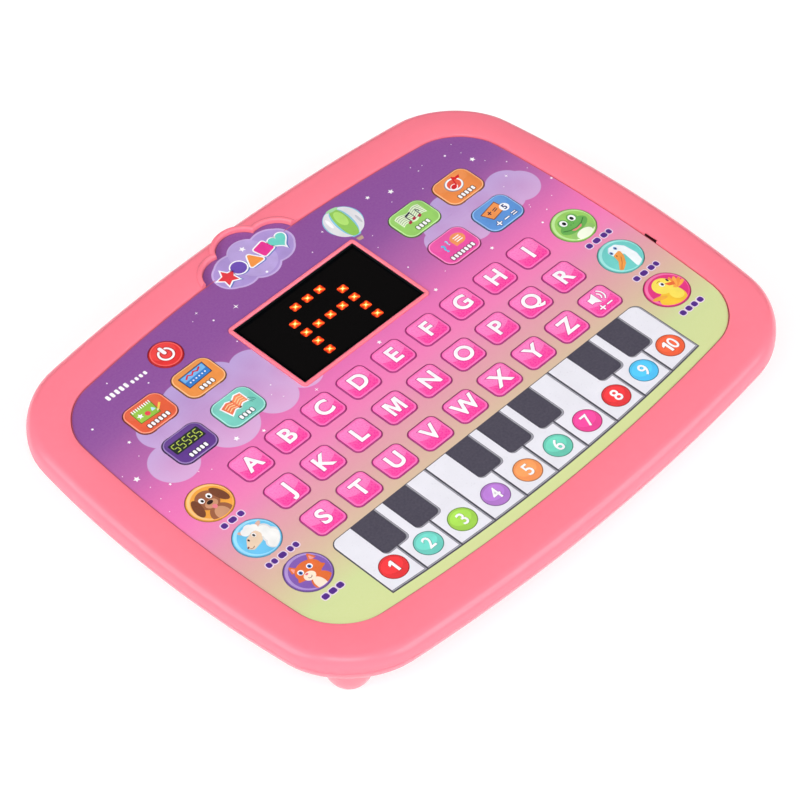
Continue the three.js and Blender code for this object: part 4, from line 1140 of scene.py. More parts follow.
def mode_pad(side):
    us, vs = MODES[side]
    name = "mode_keys_left" if side < 0 else "mode_keys_right"
    web = claim(mode_web(side, 0.0, Z_KEY0, Z_FILM1, keys=False), "web_" + name, film_mat, name, None, 30)
    b = Build()
    for u in us:
        for v in vs:
            c, icon, n = MODE_ART[(u, v)]
            x, y = X(u), Y(v)
            edge, face, lite = ink(shade(c, 0.52)), ink(c), ink(tuple(min(255, k * 0.72 + 82) for k in c))
            prof = [(0, Z_KEY0 - 0.02, edge), (0, 25.36, edge), (-0.12, 25.52, edge), (-0.36, 25.62, lite), (-0.85, 25.67, face), (-1.3, 25.69, face)]
            rings = [[(px, py, z) for px, py in round_rect(x, y, MODE_W + 2 * e, MODE_H + 2 * e, MODE_R + e, 9)] for e, z, _ in prof]
            b.loft(rings, face, bands=[p[2] for p in prof[:-1]], cap_material=face)
            z = 25.69
            b.plate(round_rect(x, y + 3.6, MODE_W - 3.4, MODE_H / 2 - 2.4, 2.0, 8), z - 0.03, z + 0.012, ink(tuple(min(255, k * 0.94 + 14) for k in c)))
            mode_icon(b, icon, x, y + 0.9, z)
            if icon == "sums":
                for w, m, h in ((0.5, ink((36, 60, 120)), 0.03), (0.0, white_ink, 0.06)):
                    yy = y - 4.3
                    b.plate(stroke([(x - 4.6, yy), (x - 2.5, yy)], 0.55 + w, 4), z, z + h, m)
                    b.plate(stroke([(x - 3.55, yy - 1.05), (x - 3.55, yy + 1.05)], 0.55 + w, 4), z, z + h + 0.005, m)
                    b.plate(stroke([(x - 0.6, yy - 0.0), (x + 1.5, yy - 0.0)], 0.55 + w, 4), z, z + h, m)
                    b.plate(stroke([(x + 3.3, yy - 0.5), (x + 5.2, yy - 0.5)], 0.45 + w, 4), z, z + h, m)
                    b.plate(stroke([(x + 3.3, yy + 0.55), (x + 5.2, yy + 0.55)], 0.45 + w, 4), z, z + h, m)
            else:
                bars(b, x, y - 4.4, n, 1.15, 1.9, 0.55, z, z + 0.03, white_ink, ink(shade(c, 0.5)))
    return b.object("pad_" + name, name, "mode_print", name, angle=40)


def ell(cx, cy, rx, ry, rot=0.0, n=36):
    return circle(cx, cy, ry, n, rx=rx, rot=math.radians(rot))


def dog(b, x, y, z):
    fur, ear, muzzle = ink((158, 98, 70)), ink((122, 72, 52)), ink((206, 150, 116))
    b.plate(clip_disc(ell(x, y - 6.6, 4.4, 4.6), x, y, 7.9), z, z + 0.03, fur)
    b.plate(clip_disc(ell(x, y - 6.9, 2.6, 3.6), x, y, 7.9), z, z + 0.045, muzzle)
    b.plate(ell(x, y + 1.2, 4.4, 4.5), z, z + 0.06, fur)
    for s in (-1, 1):
        b.plate(ell(x + s * 4.9, y + 0.5, 1.75, 4.2, s * 14), z, z + 0.075, ear)
        b.plate(ell(x + s * 1.7, y + 2.3, 1.05, 1.25), z, z + 0.08, white_ink)
        b.plate(ell(x + s * 1.55, y + 2.1, 0.52, 0.68), z, z + 0.095, ink((40, 26, 24)))
    b.plate(ell(x, y - 0.9, 2.5, 1.9), z, z + 0.08, muzzle)
    b.plate(ell(x, y - 2.6, 0.95, 1.0), z, z + 0.09, ink((232, 128, 140)))
    b.plate(ell(x, y - 0.1, 1.25, 0.85), z, z + 0.1, ink((52, 34, 32)))


def sheep(b, x, y, z):
    wool, wool2, face = ink((240, 238, 236)), ink((222, 220, 222)), ink((232, 204, 178))
    lobes = [(x + 4.3, y - 2.6, 3.5), (x + 2.6, y - 5.3, 2.6), (x + 3.6, y + 0.8, 3.0), (x + 5.4, y - 4.4, 2.2)]
    b.plate(clip_disc(cloud_outline(lobes, 0, 90), x, y, 7.9), z, z + 0.035, wool2)
    b.plate(clip_disc(cloud_outline([(p, q - 0.2, r * 0.8) for p, q, r in lobes], 0, 90), x, y, 7.8), z, z + 0.045, wool)
    b.plate(fillet([(x + 1.6, y + 3.2, 1.8), (x - 3.0, y + 2.0, 1.4), (x - 6.0, y - 1.6, 1.0), (x - 4.2, y - 3.4, 1.2), (x + 0.6, y - 2.4, 1.6), (x + 2.4, y + 0.4, 1.4)]), z, z + 0.06, face)
    b.plate(ell(x - 2.6, y + 5.0, 1.3, 0.7, 130), z, z + 0.055, ink((222, 176, 158)))
    b.plate(ell(x + 4.2, y + 4.2, 1.6, 0.8, 20), z, z + 0.075, ink((222, 176, 158)))
    b.plate(cloud_outline([(x - 1.2, y + 4.3, 1.7), (x + 0.6, y + 4.7, 1.9), (x + 2.2, y + 4.0, 1.5)], 0, 60), z, z + 0.08, wool)
    b.plate(ell(x + 0.0, y + 1.5, 0.75, 0.95), z, z + 0.085, white_ink)
    b.plate(ell(x - 0.1, y + 1.4, 0.45, 0.66), z, z + 0.1, ink((50, 34, 36)))
    b.plate(ell(x - 2.9, y + 1.0, 0.36, 0.55), z, z + 0.09, ink((50, 34, 36)))
    b.plate(ell(x - 5.2, y - 1.3, 0.5, 0.35, 30), z, z + 0.09, ink((120, 70, 66)))
    b.plate(stroke(arc(x - 4.1, y - 1.4, 1.1, 215, 320, 8), 0.25, 4), z, z + 0.09, ink((140, 84, 74)))


def cat(b, x, y, z):
    fur, pale, inner = ink((226, 112, 60)), ink((248, 226, 206)), ink((238, 158, 150))
    b.plate(clip_disc(ell(x + 1.0, y - 6.3, 4.0, 4.2), x, y, 7.9), z, z + 0.03, fur)
    b.plate(clip_disc(ell(x - 0.4, y - 6.6, 1.9, 3.4), x, y, 7.9), z, z + 0.04, pale)
    for s, dx in ((-1, -3.2), (1, 4.6)):
        b.plate(fillet([(x + dx - 1.6, y + 2.8, 0.3), (x + dx + 1.9, y + 2.8, 0.3), (x + dx + s * 0.4, y + 6.6, 0.5)]), z, z + 0.05, fur)
        b.plate(fillet([(x + dx - 0.8, y + 2.9, 0.2), (x + dx + 1.0, y + 2.9, 0.2), (x + dx + s * 0.3, y + 5.4, 0.3)]), z, z + 0.06, inner)
    b.plate(ell(x + 0.5, y + 0.5, 5.2, 4.0), z, z + 0.065, fur)
    b.plate(fillet([(x - 5.9, y - 1.4, 0.4), (x - 3.0, y + 2.0, 1.0), (x - 2.0, y - 2.6, 1.0)]), z, z + 0.06, fur)
    b.plate(fillet([(x + 6.6, y - 1.6, 0.4), (x + 2.6, y - 2.8, 1.0), (x + 4.0, y + 2.0, 1.0)]), z, z + 0.06, fur)
    b.plate(ell(x - 0.9, y - 1.7, 2.3, 1.9), z, z + 0.075, pale)
    for dx in (-2.2, 1.9):
        b.plate(ell(x + dx, y + 1.4, 1.15, 1.15), z, z + 0.08, white_ink)
        b.plate(ell(x + dx - 0.1, y + 1.3, 0.72, 0.82), z, z + 0.095, ink((92, 128, 200)))
        b.plate(ell(x + dx - 0.1, y + 1.3, 0.34, 0.5), z, z + 0.105, ink((30, 26, 46)))
    b.plate(ell(x - 1.2, y - 0.5, 0.62, 0.42), z, z + 0.1, ink((222, 110, 130)))
    b.plate(stroke(arc(x - 1.1, y - 1.7, 0.85, 200, 340, 8), 0.24, 4), z, z + 0.1, ink((120, 60, 50)))


def frog(b, x, y, z):
    skin, dark, pale = ink((108, 176, 88)), ink((62, 122, 62)), ink((240, 246, 224))
    b.plate(clip_disc(ell(x, y - 6.4, 4.6, 3.6), x, y, 7.9), z, z + 0.03, pale)
    b.plate(clip_disc(ell(x, y - 4.6, 5.4, 2.6), x, y, 7.9), z, z + 0.035, ink((150, 200, 110)))
    b.plate(ell(x, y - 5.8, 3.6, 2.2), z, z + 0.045, pale)
    b.plate(ell(x, y - 0.3, 6.3, 3.2), z, z + 0.06, skin)
    for s in (-1, 1):
        b.plate(ell(x + s * 2.3, y + 2.9, 2.1, 2.3), z, z + 0.065, skin)
        b.plate(ell(x + s * 2.2, y + 3.0, 1.4, 1.6), z, z + 0.08, white_ink)
        b.plate(ell(x + s * 2.0, y + 2.8, 0.7, 0.9), z, z + 0.095, ink((34, 40, 40)))
        b.plate(ell(x + s * 0.7, y + 0.6, 0.25, 0.18), z, z + 0.08, dark)
    b.plate(stroke([(x - 5.2, y + 0.1), (x - 3.0, y - 1.2), (x, y - 1.7), (x + 3.0, y - 1.2), (x + 5.2, y + 0.1)], 0.4, 4), z, z + 0.08, dark)
    b.plate(fillet([(x - 2.9, y - 1.3, 0.3), (x - 1.6, y - 2.6, 0.8), (x + 1.6, y - 2.6, 0.8), (x + 2.9, y - 1.3, 0.3), (x, y - 1.7, 0.5)]), z, z + 0.075, ink((232, 130, 130)))


def duck(b, x, y, z):
    white, shade_, bill = ink((242, 246, 250)), ink((206, 222, 236)), ink((238, 158, 78))
    neck = [(x + 0.4, y - 8.3), (x + 4.2, y - 8.3), (x + 5.3, y - 3.0), (x + 4.8, y + 2.6), (x + 2.6, y + 5.6), (x - 0.4, y + 6.0), (x - 2.4, y + 4.2), (x - 2.2, y + 1.4), (x + 1.8, y + 0.2)]
    b.plate(clip_disc(fillet([(p, q, 1.2) for p, q in neck], 4), x, y, 7.9), z, z + 0.035, shade_)
    b.plate(clip_disc(fillet([(p * 0.94 + x * 0.06 + 0.1, q * 0.96 + y * 0.04, 1.0) for p, q in neck], 4), x, y, 7.8), z, z + 0.045, white)
    b.plate(fillet([(x + 1.9, y + 2.6, 0.8), (x - 2.0, y + 1.8, 0.8), (x - 2.8, y - 1.4, 0.6), (x - 5.8, y - 4.6, 0.6), (x - 4.6, y - 5.6, 0.6), (x - 1.4, y - 3.8, 0.8), (x + 0.8, y - 0.8, 0.8)]), z, z + 0.07, bill)
    b.plate(stroke([(x - 4.9, y - 4.9), (x - 2.2, y - 2.6), (x - 0.4, y - 0.4)], 0.3, 4), z, z + 0.085, ink((206, 112, 52)))
    b.plate(ell(x - 1.2, y + 0.9, 0.3, 0.5, -30), z, z + 0.085, ink((190, 100, 50)))
    for dx, dy in ((-1.6, 3.2), (1.3, 4.0)):
        b.plate(ell(x + dx, y + dy, 0.62, 0.85), z, z + 0.08, ink((120, 160, 214)))
        b.plate(ell(x + dx, y + dy - 0.1, 0.32, 0.48), z, z + 0.095, ink((30, 40, 80)))


def bird(b, x, y, z):
    body, lite, beak = ink((244, 196, 62)), ink((250, 224, 96)), ink((232, 108, 62))
    b.plate(clip_disc(ell(x - 1.6, y - 4.6, 5.4, 4.6), x, y, 7.9), z, z + 0.03, body)
    for k in range(5):
        a = 8 + 21 * k
        q = math.radians(a)
        b.plate(clip_disc(ell(x + 3.1 + 2.3 * math.cos(q), y - 1.6 + 2.6 * math.sin(q), 2.9, 0.85, a), x, y, 7.8), z, z + 0.035 + 0.004 * k, ink((238, 146, 66) if k % 2 else (246, 170, 80)))
    b.plate(clip_disc(ell(x - 5.2, y - 1.3, 3.0, 0.95, -22), x, y, 7.8), z, z + 0.045, ink((240, 172, 70)))
    b.plate(ell(x + 1.2, y - 3.6, 2.6, 2.9), z, z + 0.05, lite)
    b.plate(ell(x, y + 2.2, 4.0, 3.9), z, z + 0.065, lite)
    b.plate(fillet([(x + 1.3, y + 2.6, 0.2), (x + 4.6, y + 1.0, 0.3), (x + 3.9, y - 0.5, 0.3), (x + 1.9, y + 0.6, 0.4)]), z, z + 0.08, beak)
    b.plate(ell(x + 0.4, y + 2.9, 0.95, 1.15), z, z + 0.08, white_ink)
    b.plate(ell(x + 0.6, y + 2.8, 0.52, 0.72), z, z + 0.095, ink((60, 44, 60)))
    b.plate(ell(x + 3.4, y + 3.0, 0.4, 0.75), z, z + 0.085, ink((60, 44, 60)))
    b.plate(stroke(arc(x + 0.4, y + 3.0, 1.7, 60, 120, 6), 0.25, 4), z, z + 0.085, ink((180, 120, 40)))


def clip_disc(poly, x, y, r):
    """Keeps a polygon inside a disc by pulling in the points that lie outside it."""
    out = []
    for px, py in poly:
        d = math.hypot(px - x, py - y)
        if d > r:
            px, py = x + (px - x) * r / d, y + (py - y) * r / d
        out.append((px, py))
    return out


ANIMAL_ART = {-1: [(dog, (240, 164, 70), 3), (sheep, (108, 194, 236), 5), (cat, (132, 94, 178), 3)], 1: [(frog, (156, 208, 104), 4), (duck, (114, 206, 200), 4), (bird, (226, 58, 130), 4)]}


def animal_pad(side):
    name = "animal_keys_left" if side < 0 else "animal_keys_right"
    at = ANIMALS[side]
    strips = []
    for a, c in zip(at, at[1:]):
        w = 2.2
        strips.append(([(X(c[0]) - w, Y(c[1])), (X(c[0]) + w, Y(c[1])), (X(a[0]) + w, Y(a[1])), (X(a[0]) - w, Y(a[1]))], Z_KEY0, Z_FILM1))
    web = claim(solid(*strips), "web_" + name, film_mat, name, None, 30)
    b = Build()
    for (u, v), (draw, c, n) in zip(at, ANIMAL_ART[side]):
        x, y = X(u), Y(v)
        edge, face, lite = ink(shade(c, 0.74)), ink(c), ink(tuple(min(255, k * 0.7 + 84) for k in c))
        prof = [(0, Z_KEY0 - 0.02, edge), (0, 25.36, edge), (-0.12, 25.52, edge), (-0.34, 25.62, face), (-0.7, 25.67, face), (-1.2, 25.69, face)]
        rings = [[(px, py, z) for px, py in circle(x, y, ANIMAL_R + e, 84)] for e, z, _ in prof]
        b.loft(rings, face, bands=[p[2] for p in prof[:-1]], cap_material=face)
        z = 25.69
        b.plate(circle(x, y, 7.95, 80), z - 0.03, z + 0.01, lite, [circle(x + 0.35, y - 0.35, 7.35, 80)])
        draw(b, x, y, z)
    # the middle dash of each label lies on the strip
    purple, halo = ink((88, 50, 138)), ink((236, 214, 236))
    for k, v in enumerate(LABEL_V[side][:2]):
        u = (at[k][0] + at[k + 1][0]) / 2
        dash = round_rect(X(u), Y(v), 3.0, 2.3, 0.9, 6)
        b.plate(grow(dash, 0.4), Z_FILM1 - 0.02, Z_FILM1 + 0.02, halo)
        b.plate(dash, Z_FILM1 - 0.01, Z_FILM1 + 0.05, purple)
    return b.object("pad_" + name, name, "animal_print", name, angle=40)


LABEL_V = {-1: (0.235, -1.095, -2.42), 1: (0.22, -1.12, -2.45)}

STARS = [
    (-4.50, 4.65, 5, 0), (-5.536, 3.945, 7, 0), (-3.914, 4.055, 5, 0), (-1.923, 4.759, 8, 4), (-2.136, 4.641, 3, 0), (-1.818, 4.359, 6, 0), (-1.232, 4.309, 15, 4),
    (-5.264, 3.164, 10, 5), (-5.377, 2.759, 3, 0), (-5.968, 2.6, 3, 0), (-5.818, 2.345, 17, 5), (-5.777, 2.0, 3, 0), (-5.455, 1.777, 8, 5), (-5.836, 1.636, 3, 0),
    (-3.732, 1.695, 15, 5), (-3.214, 1.455, 10, 5), (-1.718, 1.477, 10, 4), (-2.264, 2.236, 4, 0), (-2.436, 2.032, 3, 0),
    (-2.30, 1.827, 5, 4), (-1.895, 3.586, 4, 0), (0.073, 1.477, 12, 5), (-4.845, 1.614, 5, 4), (-4.627, 1.468, 3, 0), (1.509, 4.555, 8, 4),
    (0.945, 4.277, 4, 0), (2.882, 4.582, 12, 5), (3.35, 4.355, 16, 5), (3.145, 4.118, 3, 0), (4.159, 4.559, 3, 0), (4.205, 4.364, 4, 0), (4.373, 4.423, 3, 0),
    (4.923, 4.277, 7, 0), (5.268, 4.423, 5, 4), (5.227, 4.091, 3, 0), (3.882, 3.923, 4, 0), (5.25, 3.777, 15, 5), (5.405, 3.555, 3, 0), (2.150, 3.714, 3, 0),
    (1.982, 3.386, 3, 0), (5.373, 2.909, 9, 4), (5.1, 2.72, 3, 0), (2.0, 2.532, 5, 0), (5.986, 2.168, 8, 5), (5.068, 1.959, 3, 0),
    (5.223, 1.6, 4, 0), (5.6, 1.809, 3, 0), (1.927, 1.668, 11, 5), (3.6, 1.655, 11, 5), (5.04, 1.9, 3, 0), (4.877, 1.40, 7, 0), (-5.945, 1.273, 3, 0),
    (-0.12, 4.55, 5, 0), (5.7, 3.2, 4, 0), (2.45, 1.9, 3, 0), (5.86, 2.75, 3, 0),
]


def film_print():
    """Everything printed on the fixed part of the film, one thin layer each, and the painted shadow along the film's
    edge and in the slot beside it.
    """
    b = Build()
    z = Z_FILM1
    glow = ink((214, 176, 222))
    for u, v, r, k in STARS:
        q = r / 220 * P
        x, y = X(u), Y(v)
        if k == 0:
            b.plate(circle(x, y, q * 0.8, 14), z - 0.01, z + 0.02, white_ink)
        elif k == 4:
            b.plate(star(x, y, q * 1.15, 4, 0.22), z - 0.01, z + 0.025, white_ink)
        else:
            b.plate(star(x, y, q * 1.0, 5, 0.48), z - 0.01, z + 0.025, white_ink)
    # painted shadow: a dark ring laid low in the gap between the film's edge and the casing, standing in for the shade
    # there
    b.loft([ring(FILM, 0.02, 24.75), ring(FILM, 0.02, 25.1), ring(FILM, 0.22, 25.1), ring(FILM, 0.22, 24.75)], ink((128, 44, 62)), closed=True)
    # painted shade: a dark plug fills the slot at the film's right edge, in place of the deep shadow inside it
    b.plate(round_rect(106.85, -21.4, 0.66, 5.86, 0.2, 4), 23.6, 25.75, ink((58, 12, 20)))
    # painted shadow: a darker pink line along the film's edge, where it meets the casing's rim
    b.loft([ring(FILM, 0.25, z - 0.02), ring(FILM, 0.25, z + 0.03), ring(FILM, 0.5, z + 0.03), ring(FILM, 0.5, z - 0.02)], ink((200, 92, 104)), closed=True)
    # cloud on the badge
    cl = [(X(-0.02), Y(5.22), 0.44 * P), (X(-0.50), Y(5.03), 0.50 * P), (X(-0.66), Y(5.03), 0.42 * P), (X(0.50), Y(5.03), 0.50 * P), (X(0.64), Y(5.04), 0.40 * P), (X(0.0), Y(4.88), 0.47 * P)]
    c0 = (X(-0.01), Y(5.05))
    b.plate(cloud_outline(cl, 0.0, 180, c0), z - 0.01, z + 0.02, ink((196, 172, 222)))
    b.plate(cloud_outline(cl, -0.75, 180, c0), z, z + 0.032, ink((172, 148, 210)))
    b.plate(cloud_outline(cl[:1] + [(X(-0.02), Y(4.98), 0.50 * P)], -0.5, 120), z, z + 0.04, ink((184, 162, 217)))
    b.plate(star(X(0.0), Y(5.40), 1.35), z, z + 0.07, white_ink)
    b.plate(circle(X(-0.10), Y(4.56), 0.5, 16), z, z + 0.07, white_ink)
    # five plain coloured shapes in a wavy row
    shapes = []
    r = 3.55
    cs = [(-0.77, 5.02), (-0.42, 5.07), (-0.05, 5.03), (0.32, 5.09), (0.70, 5.03)]
    kinds = ["star", "circle", "triangle", "square", "heart"]
    cols = [(228, 64, 72), (112, 82, 176), (242, 150, 72), (232, 60, 150), (112, 208, 196)]
    for (u, v), kind, c in zip(cs, kinds, cols):
        x, y = X(u), Y(v)
        if kind == "star":
            poly = star(x, y, r * 1.15, 5, 0.52)
        elif kind == "circle":
            poly = circle(x, y, r * 0.86, 36)
        elif kind == "triangle":
            poly = fillet([(x - r, y - r * 0.8, 0.7), (x + r, y - r * 0.8, 0.7), (x, y + r, 0.7)])
        elif kind == "square":
            poly = [(x + (px - x) * math.cos(0.2) - (py - y) * math.sin(0.2), y + (px - x) * math.sin(0.2) + (py - y) * math.cos(0.2)) for px, py in round_rect(x, y, r * 1.6, r * 1.6, 0.8, 6)]
        else:
            poly = []
            for k in range(40):
                t = 2 * math.pi * k / 40
                poly.append((x + r * 1.05 / 16 * 16 * math.sin(t) ** 3, y + 0.3 + r * 1.05 / 16 * (13 * math.cos(t) - 5 * math.cos(2 * t) - 2 * math.cos(3 * t) - math.cos(4 * t))))
        sh = [(px + 0.35, py - 0.45) for px, py in grow(poly, 0.55)]
        b.plate(sh, z, z + 0.05, ink((104, 124, 190)))
        b.plate(grow(poly, 0.55), z, z + 0.062, white_ink)
        b.plate(poly, z, z + 0.085, ink(c))
    # balloon
    x, y, R = X(2.03), Y(4.46), 0.44 * P
    sky, pale, green, lime = ink((132, 196, 222)), ink((226, 224, 228)), ink((146, 198, 92)), ink((178, 222, 116))
    tilt = -0.16

    def turn(px, py):
        return (x + px * math.cos(tilt) - py * math.sin(tilt), y + px * math.sin(tilt) + py * math.cos(tilt))

    env = [turn(R * math.cos(math.radians(t)), R * math.sin(math.radians(t))) for t in range(-40, 221, 5)]
    env += [turn(-R * 0.24, -R * 1.12), turn(-R * 0.20, -R * 1.18), turn(R * 0.20, -R * 1.18), turn(R * 0.24, -R * 1.12)]
    b.plate(env, z - 0.01, z + 0.02, sky)

    def gore(p, q, top):
        left, right = [], []
        for k in range(21):
            t = math.pi * k / 20
            w = math.sin(t) ** 0.8 if t > 0 else 0.0
            drop = -R * 1.05 * max(0.0, (k - 10) / 10) ** 2 * 0.14
            yy = R * top * math.cos(t) + drop
            pinch = 0.16 * (k / 20) ** 3
            left.append(turn(R * (p * w + pinch * (1 if p > 0 else -1) * 0.6), yy))
            right.append(turn(R * (q * w + pinch * (1 if q > 0 else -1) * 0.6), yy))
        return left[1:] + right[:0:-1]

    b.plate(gore(-0.93, -0.46, 0.94), z, z + 0.032, pale)
    b.plate(gore(0.46, 0.93, 0.94), z, z + 0.032, pale)
    b.plate(gore(-0.36, 0.36, 0.97), z, z + 0.045, green)
    b.plate([turn(R * 0.02 + R * 0.26 * math.cos(t * 0.2), R * 0.20 + R * 0.52 * math.sin(t * 0.2)) for t in range(31)], z, z + 0.052, lime)
    b.plate(circle(*turn(0, R * 0.92), R * 0.10, 20, rx=R * 0.34, rot=tilt), z, z + 0.05, ink((164, 214, 160)))
    b.plate([turn(-R * 0.64 + R * 0.09 * math.cos(t * 0.26), R * 0.22 + R * 0.34 * math.sin(t * 0.26)) for t in range(24)], z, z + 0.05, white_ink)
    b.plate([turn(R * 0.70 + R * 0.07 * math.cos(t * 0.26), -R * 0.30 + R * 0.30 * math.sin(t * 0.26)) for t in range(24)], z, z + 0.05, ink((196, 196, 204)))
    for q in (-0.16, 0.16):
        b.plate(stroke([turn(R * q, -R * 1.18), turn(R * q * 0.7, -R * 1.34)], 0.2, 4), z, z + 0.03, ink((150, 120, 110)))
    b.plate(fillet([(*turn(-R * 0.18, -R * 1.30), 0.2), (*turn(R * 0.18, -R * 1.30), 0.2), (*turn(R * 0.13, -R * 1.52), 0.4), (*turn(-R * 0.13, -R * 1.52), 0.4)]), z, z + 0.035, ink((196, 164, 140)))
    # dashes beside the power key
    for k in range(5):
        b.plate(round_rect(X(-4.76) + k * 2.15 + 0.0, Y(4.335), 1.35, 2.4, 0.5, 5), z - 0.01, z + 0.025, white_ink)
    for k in range(4):
        b.plate(round_rect(X(-4.115) + k * 2.0 + 0.0, Y(4.31), 1.2, 1.7, 0.45, 5), z - 0.01, z + 0.025, white_ink)
    # animal labels: dashes either side of the strip
    purple, halo = ink((88, 50, 138)), ink((236, 214, 236))
    for side in (-1, 1):
        at = ANIMALS[side]
        for k, v in enumerate(LABEL_V[side]):
            n = ANIMAL_ART[side][k][2]
            if k < 2:
                u = (at[k][0] + at[k + 1][0]) / 2
                slots_ = [(-3.85, 2.3), (3.85, 2.3)] if n < 5 else [(-3.7, 2.0), (-6.3, 2.0), (3.7, 2.0), (6.3, 2.0)]
                if n == 4:
                    slots_ = [(-3.9, 2.4), (3.9, 2.4), (6.6, 1.9)]
            else:
                u = at[k][0]
                slots_ = [(-3.4, 2.6), (0, 2.8), (3.4, 2.6)] if n == 3 else [(-4.6, 2.3), (-1.5, 2.3), (1.5, 2.3), (4.6, 2.3)]
            for dx, w in slots_:
                dash = round_rect(X(u) + dx, Y(v), w, 2.3, 0.8, 6)
                b.plate(grow(dash, 0.4), z - 0.01, z + 0.02, halo)
                b.plate(dash, z, z + 0.05, purple)
    return b.object("film_print", "casing", "overlay_film", (), angle=40)


# ------------------------------------------------------------------ display
LAMP_X, LAMP_Y = X(-0.055) + 0.45, Y(2.748) + 0.45
LIT = ["01110", "10001", "11111", "10001", "10001"]


def display():
    b = Build()
    prof = [(0, 23.6), (0, 24.45), (-0.12, 24.58), (-0.3, 24.6)]
    b.loft([[(x, y, z) for x, y in round_rect(0, Y(LIP_V), 60.1 + 2 * e, 36.4 + 2 * e, 0.6, 5)] for e, z in prof], window_mat)
    rings = []
    for e, z in ((0, 24.5), (0, 25.55), (-0.08, 25.62), (-0.22, 25.62), (-0.3, 25.55), (-0.3, 24.5)):
        rings.append([(x, y, z) for x, y in round_rect(0, Y(LIP_V), LIP_W - 2 * LIP_T - 0.06 + 2 * e, LIP_H - 2 * LIP_T - 0.06 + 2 * e, 0.5, 5)])
    b.loft(rings, gasket_mat, closed=True)
    b.object("display_cover", "casing", "display_cover", "display_window", angle=40)
    lamps = Build()
    for j, row in enumerate(LIT):
        for i, on in enumerate(row):
            x, y = LAMP_X + (i - 2) * 6.04, LAMP_Y + (2 - j) * 5.85
            if on == "1":
                rings = []
                for e, z in ((0, 24.58), (0, 24.63), (-0.25, 24.68), (-0.7, 24.71)):
                    rings.append([(px, py, z) for px, py in round_rect(x, y, 3.75 + 2 * e, 3.25 + 2 * e, 0.85 + e, 6)])
                lamps.loft(rings, lamp_mat)
    lamps.object("display_lamps", "casing", "led_block", (), angle=60)


window_mat = display_material()
gasket_mat = plastic("gasket_black", (6, 14, 18), rough=0.4, var=0.2, bump=0.1, fine=1400, coarse=120, spec=0.3)
lamp_mat = lamp_material()
key_letter_edge = ink((214, 52, 140))

front_casing()
rear_casing()
battery_door()
zinc = brushed("screw_zinc", (170, 172, 178), 0.32)
nickel = brushed("contact_nickel", (196, 198, 202), 0.24)
for k, (px, py) in enumerate(POSTS):
    screw("screw_case_%d" % (k + 1), "casing_screw_%d" % (k + 1), "casing", px, py, 7.5, 2.7, 1.4, 1.2, 11, zinc)
screw("screw_door", "battery_door_screw", "battery_door_screw", *DOOR_SCREW, Z_BOTTOM + 0.05, 2.6, 0.85, 1.0, 7, zinc)
film()
film_print()
display()
for i in range(27):
    key_pad(i)
for i in range(1, 11):
    piano_pad(i)
power_pad()
for s in (-1, 1):
    mode_pad(s)
    animal_pad(s)

# CAD nodes that stay as they are, with finished materials
membrane_mat = plastic("membrane_sheet", (120, 112, 120), rough=0.42, var=0.06, fine=900, coarse=120)
black_mat = plastic("light_guide_black", (20, 20, 22), rough=0.5, var=0.15, fine=1200, coarse=90)
board_mat = plastic("board_mask", (24, 92, 52), rough=0.38, var=0.12, fine=700, coarse=220)
cone_mat = plastic("speaker_cone", (26, 26, 28), rough=0.75, var=0.2, bump=0.3, fine=1500, coarse=200)
for name, m in (("membrane_circuit", membrane_mat), ("led_matrix", black_mat), ("main_board", board_mat), ("speaker", cone_mat),
                ("battery_contact_positive", nickel), ("battery_contact_negative", nickel), ("battery_link_left", nickel), ("battery_link_right", nickel)):
    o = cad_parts[name]
    o.data.materials.clear()
    o.data.materials.append(m)

# ------------------------------------------------------------------ stage, light and camera
fm = bpy.data.meshes.new("floor")
fm.from_pydata([(-6, -6, 0), (6, -6, 0), (6, 6, 0), (-6, 6, 0)], [], [[0, 1, 2, 3]])
floor = bpy.data.objects.new("floor", fm)
bpy.context.scene.collection.objects.link(floor)
floor_nodes = Nodes("floor_pale")
fn = floor_nodes.noise(floor_nodes.coords(), 3.0, 2.0)
floor_nodes.link(floor_nodes.mix(fn, (0.45, 0.45, 0.45, 1), (0.48, 0.48, 0.48, 1)), floor_nodes.b.inputs["Base Color"])
floor_nodes.b.inputs["Emission Color"].default_value = (1, 1, 1, 1)
floor_nodes.b.inputs["Emission Strength"].default_value = 0.61
floor_nodes.b.inputs["Roughness"].default_value = 0.9
floor_nodes.b.inputs["Specular IOR Level"].default_value = 0.1
fm.materials.append(floor_nodes.mat)

world = bpy.data.worlds.new("studio")
bpy.context.scene.world = world
world.use_nodes = True
wt = world.node_tree
bg = wt.nodes["Background"]
bg.inputs[0].default_value = (1, 1, 1, 1)
# soft white room with a darker wall behind the object, so flat faces stay clear of haze
wc = wt.nodes.new("ShaderNodeTexCoord")
wd = wt.nodes.new("ShaderNodeVectorMath")
wd.operation = "DOT_PRODUCT"
wd.inputs[1].default_value = (0.474, 0.476, 0.741)
wt.links.new(wc.outputs["Generated"], wd.inputs[0])
wr = wt.nodes.new("ShaderNodeMapRange")
wr.interpolation_type = "SMOOTHSTEP"
for key, val in zip(("From Min", "From Max", "To Min", "To Max"), (0.30, 0.90, 0.74, 0.08)):
    wr.inputs[key].default_value = val
wt.links.new(wd.outputs["Value"], wr.inputs["Value"])
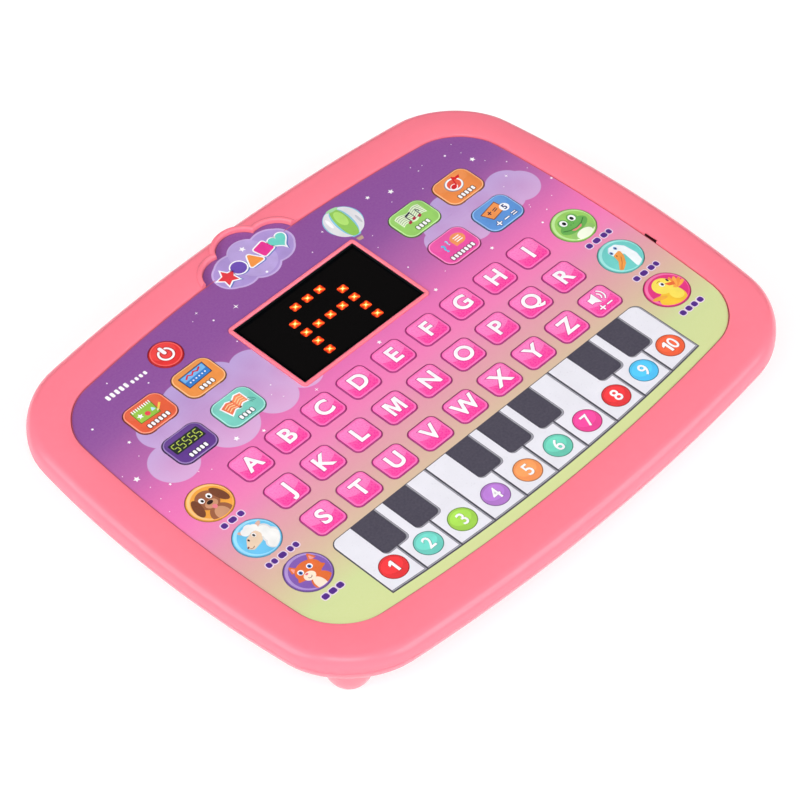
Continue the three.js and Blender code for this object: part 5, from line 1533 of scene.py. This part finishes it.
# the room is dimmer in reflections, and plain and pale where it is seen directly
lp = wt.nodes.new("ShaderNodeLightPath")
dim = wt.nodes.new("ShaderNodeMapRange")
dim.inputs["To Min"].default_value, dim.inputs["To Max"].default_value = 1.0, 0.36
wt.links.new(lp.outputs["Is Glossy Ray"], dim.inputs["Value"])
soft = wt.nodes.new("ShaderNodeMath")
soft.operation = "MULTIPLY"
wt.links.new(wr.outputs["Result"], soft.inputs[0])
wt.links.new(dim.outputs["Result"], soft.inputs[1])
seen = wt.nodes.new("ShaderNodeMix")
seen.data_type = "FLOAT"
seen.inputs[3].default_value = 0.88
wt.links.new(lp.outputs["Is Camera Ray"], seen.inputs[0])
wt.links.new(soft.outputs[0], seen.inputs[2])
wt.links.new(seen.outputs[0], bg.inputs[1])


def area(name, loc, target, size, power, size_y=None):
    li = bpy.data.lights.new(name, "AREA")
    li.energy = power
    li.shape = "RECTANGLE"
    li.size, li.size_y = size, size_y or size
    o = bpy.data.objects.new(name, li)
    bpy.context.scene.collection.objects.link(o)
    o.location = loc
    o.rotation_mode = "QUATERNION"
    o.rotation_quaternion = (Vector(target) - Vector(loc)).to_track_quat("-Z", "Y")
    return o


area("key_light", (-1.1, -0.9, 2.2), (0, 0, 0), 1.2, 19.0)
# two low softboxes: one part of each gives body light, the other only the sheen on the shoulders
for side, place in (("left", (-1.2, 0.55, 0.92)), ("front", (0.55, -1.2, 0.92))):
    area(side + "_fill", place, (0, 0, 0), 1.5, 11.0, 0.26).visible_glossy = False
    area(side + "_sheen_wide", place, (0, 0, 0), 1.35, 13.5, 0.95).visible_diffuse = False
    area(side + "_sheen_core", place, (0, 0, 0), 1.6, 9.0, 0.24).visible_diffuse = False

cam_data = bpy.data.cameras.new("camera")
cam = bpy.data.objects.new("camera", cam_data)
bpy.context.scene.collection.objects.link(cam)
cam_data.sensor_width = 36.0
cam_data.lens = 3420.658 * 36.0 / 800.0
cam_data.clip_start, cam_data.clip_end = 0.05, 20.0
right = Vector((0.69736784, -0.71656772, -0.01444994))
up = Vector((0.53746942, 0.50951812, 0.67195082))
back = Vector((-0.47413576, -0.4763633, 0.74045478))
rot = Matrix((right, up, back)).transposed().to_4x4()
cam.matrix_world = Matrix.Translation((-0.57925573, -0.57936302, 0.90972947)) @ rot
bpy.context.scene.camera = cam
bpy.context.scene.view_settings.view_transform = "Standard"
bpy.context.scene.view_settings.look = "None"

bpy.context.view_layer.update()
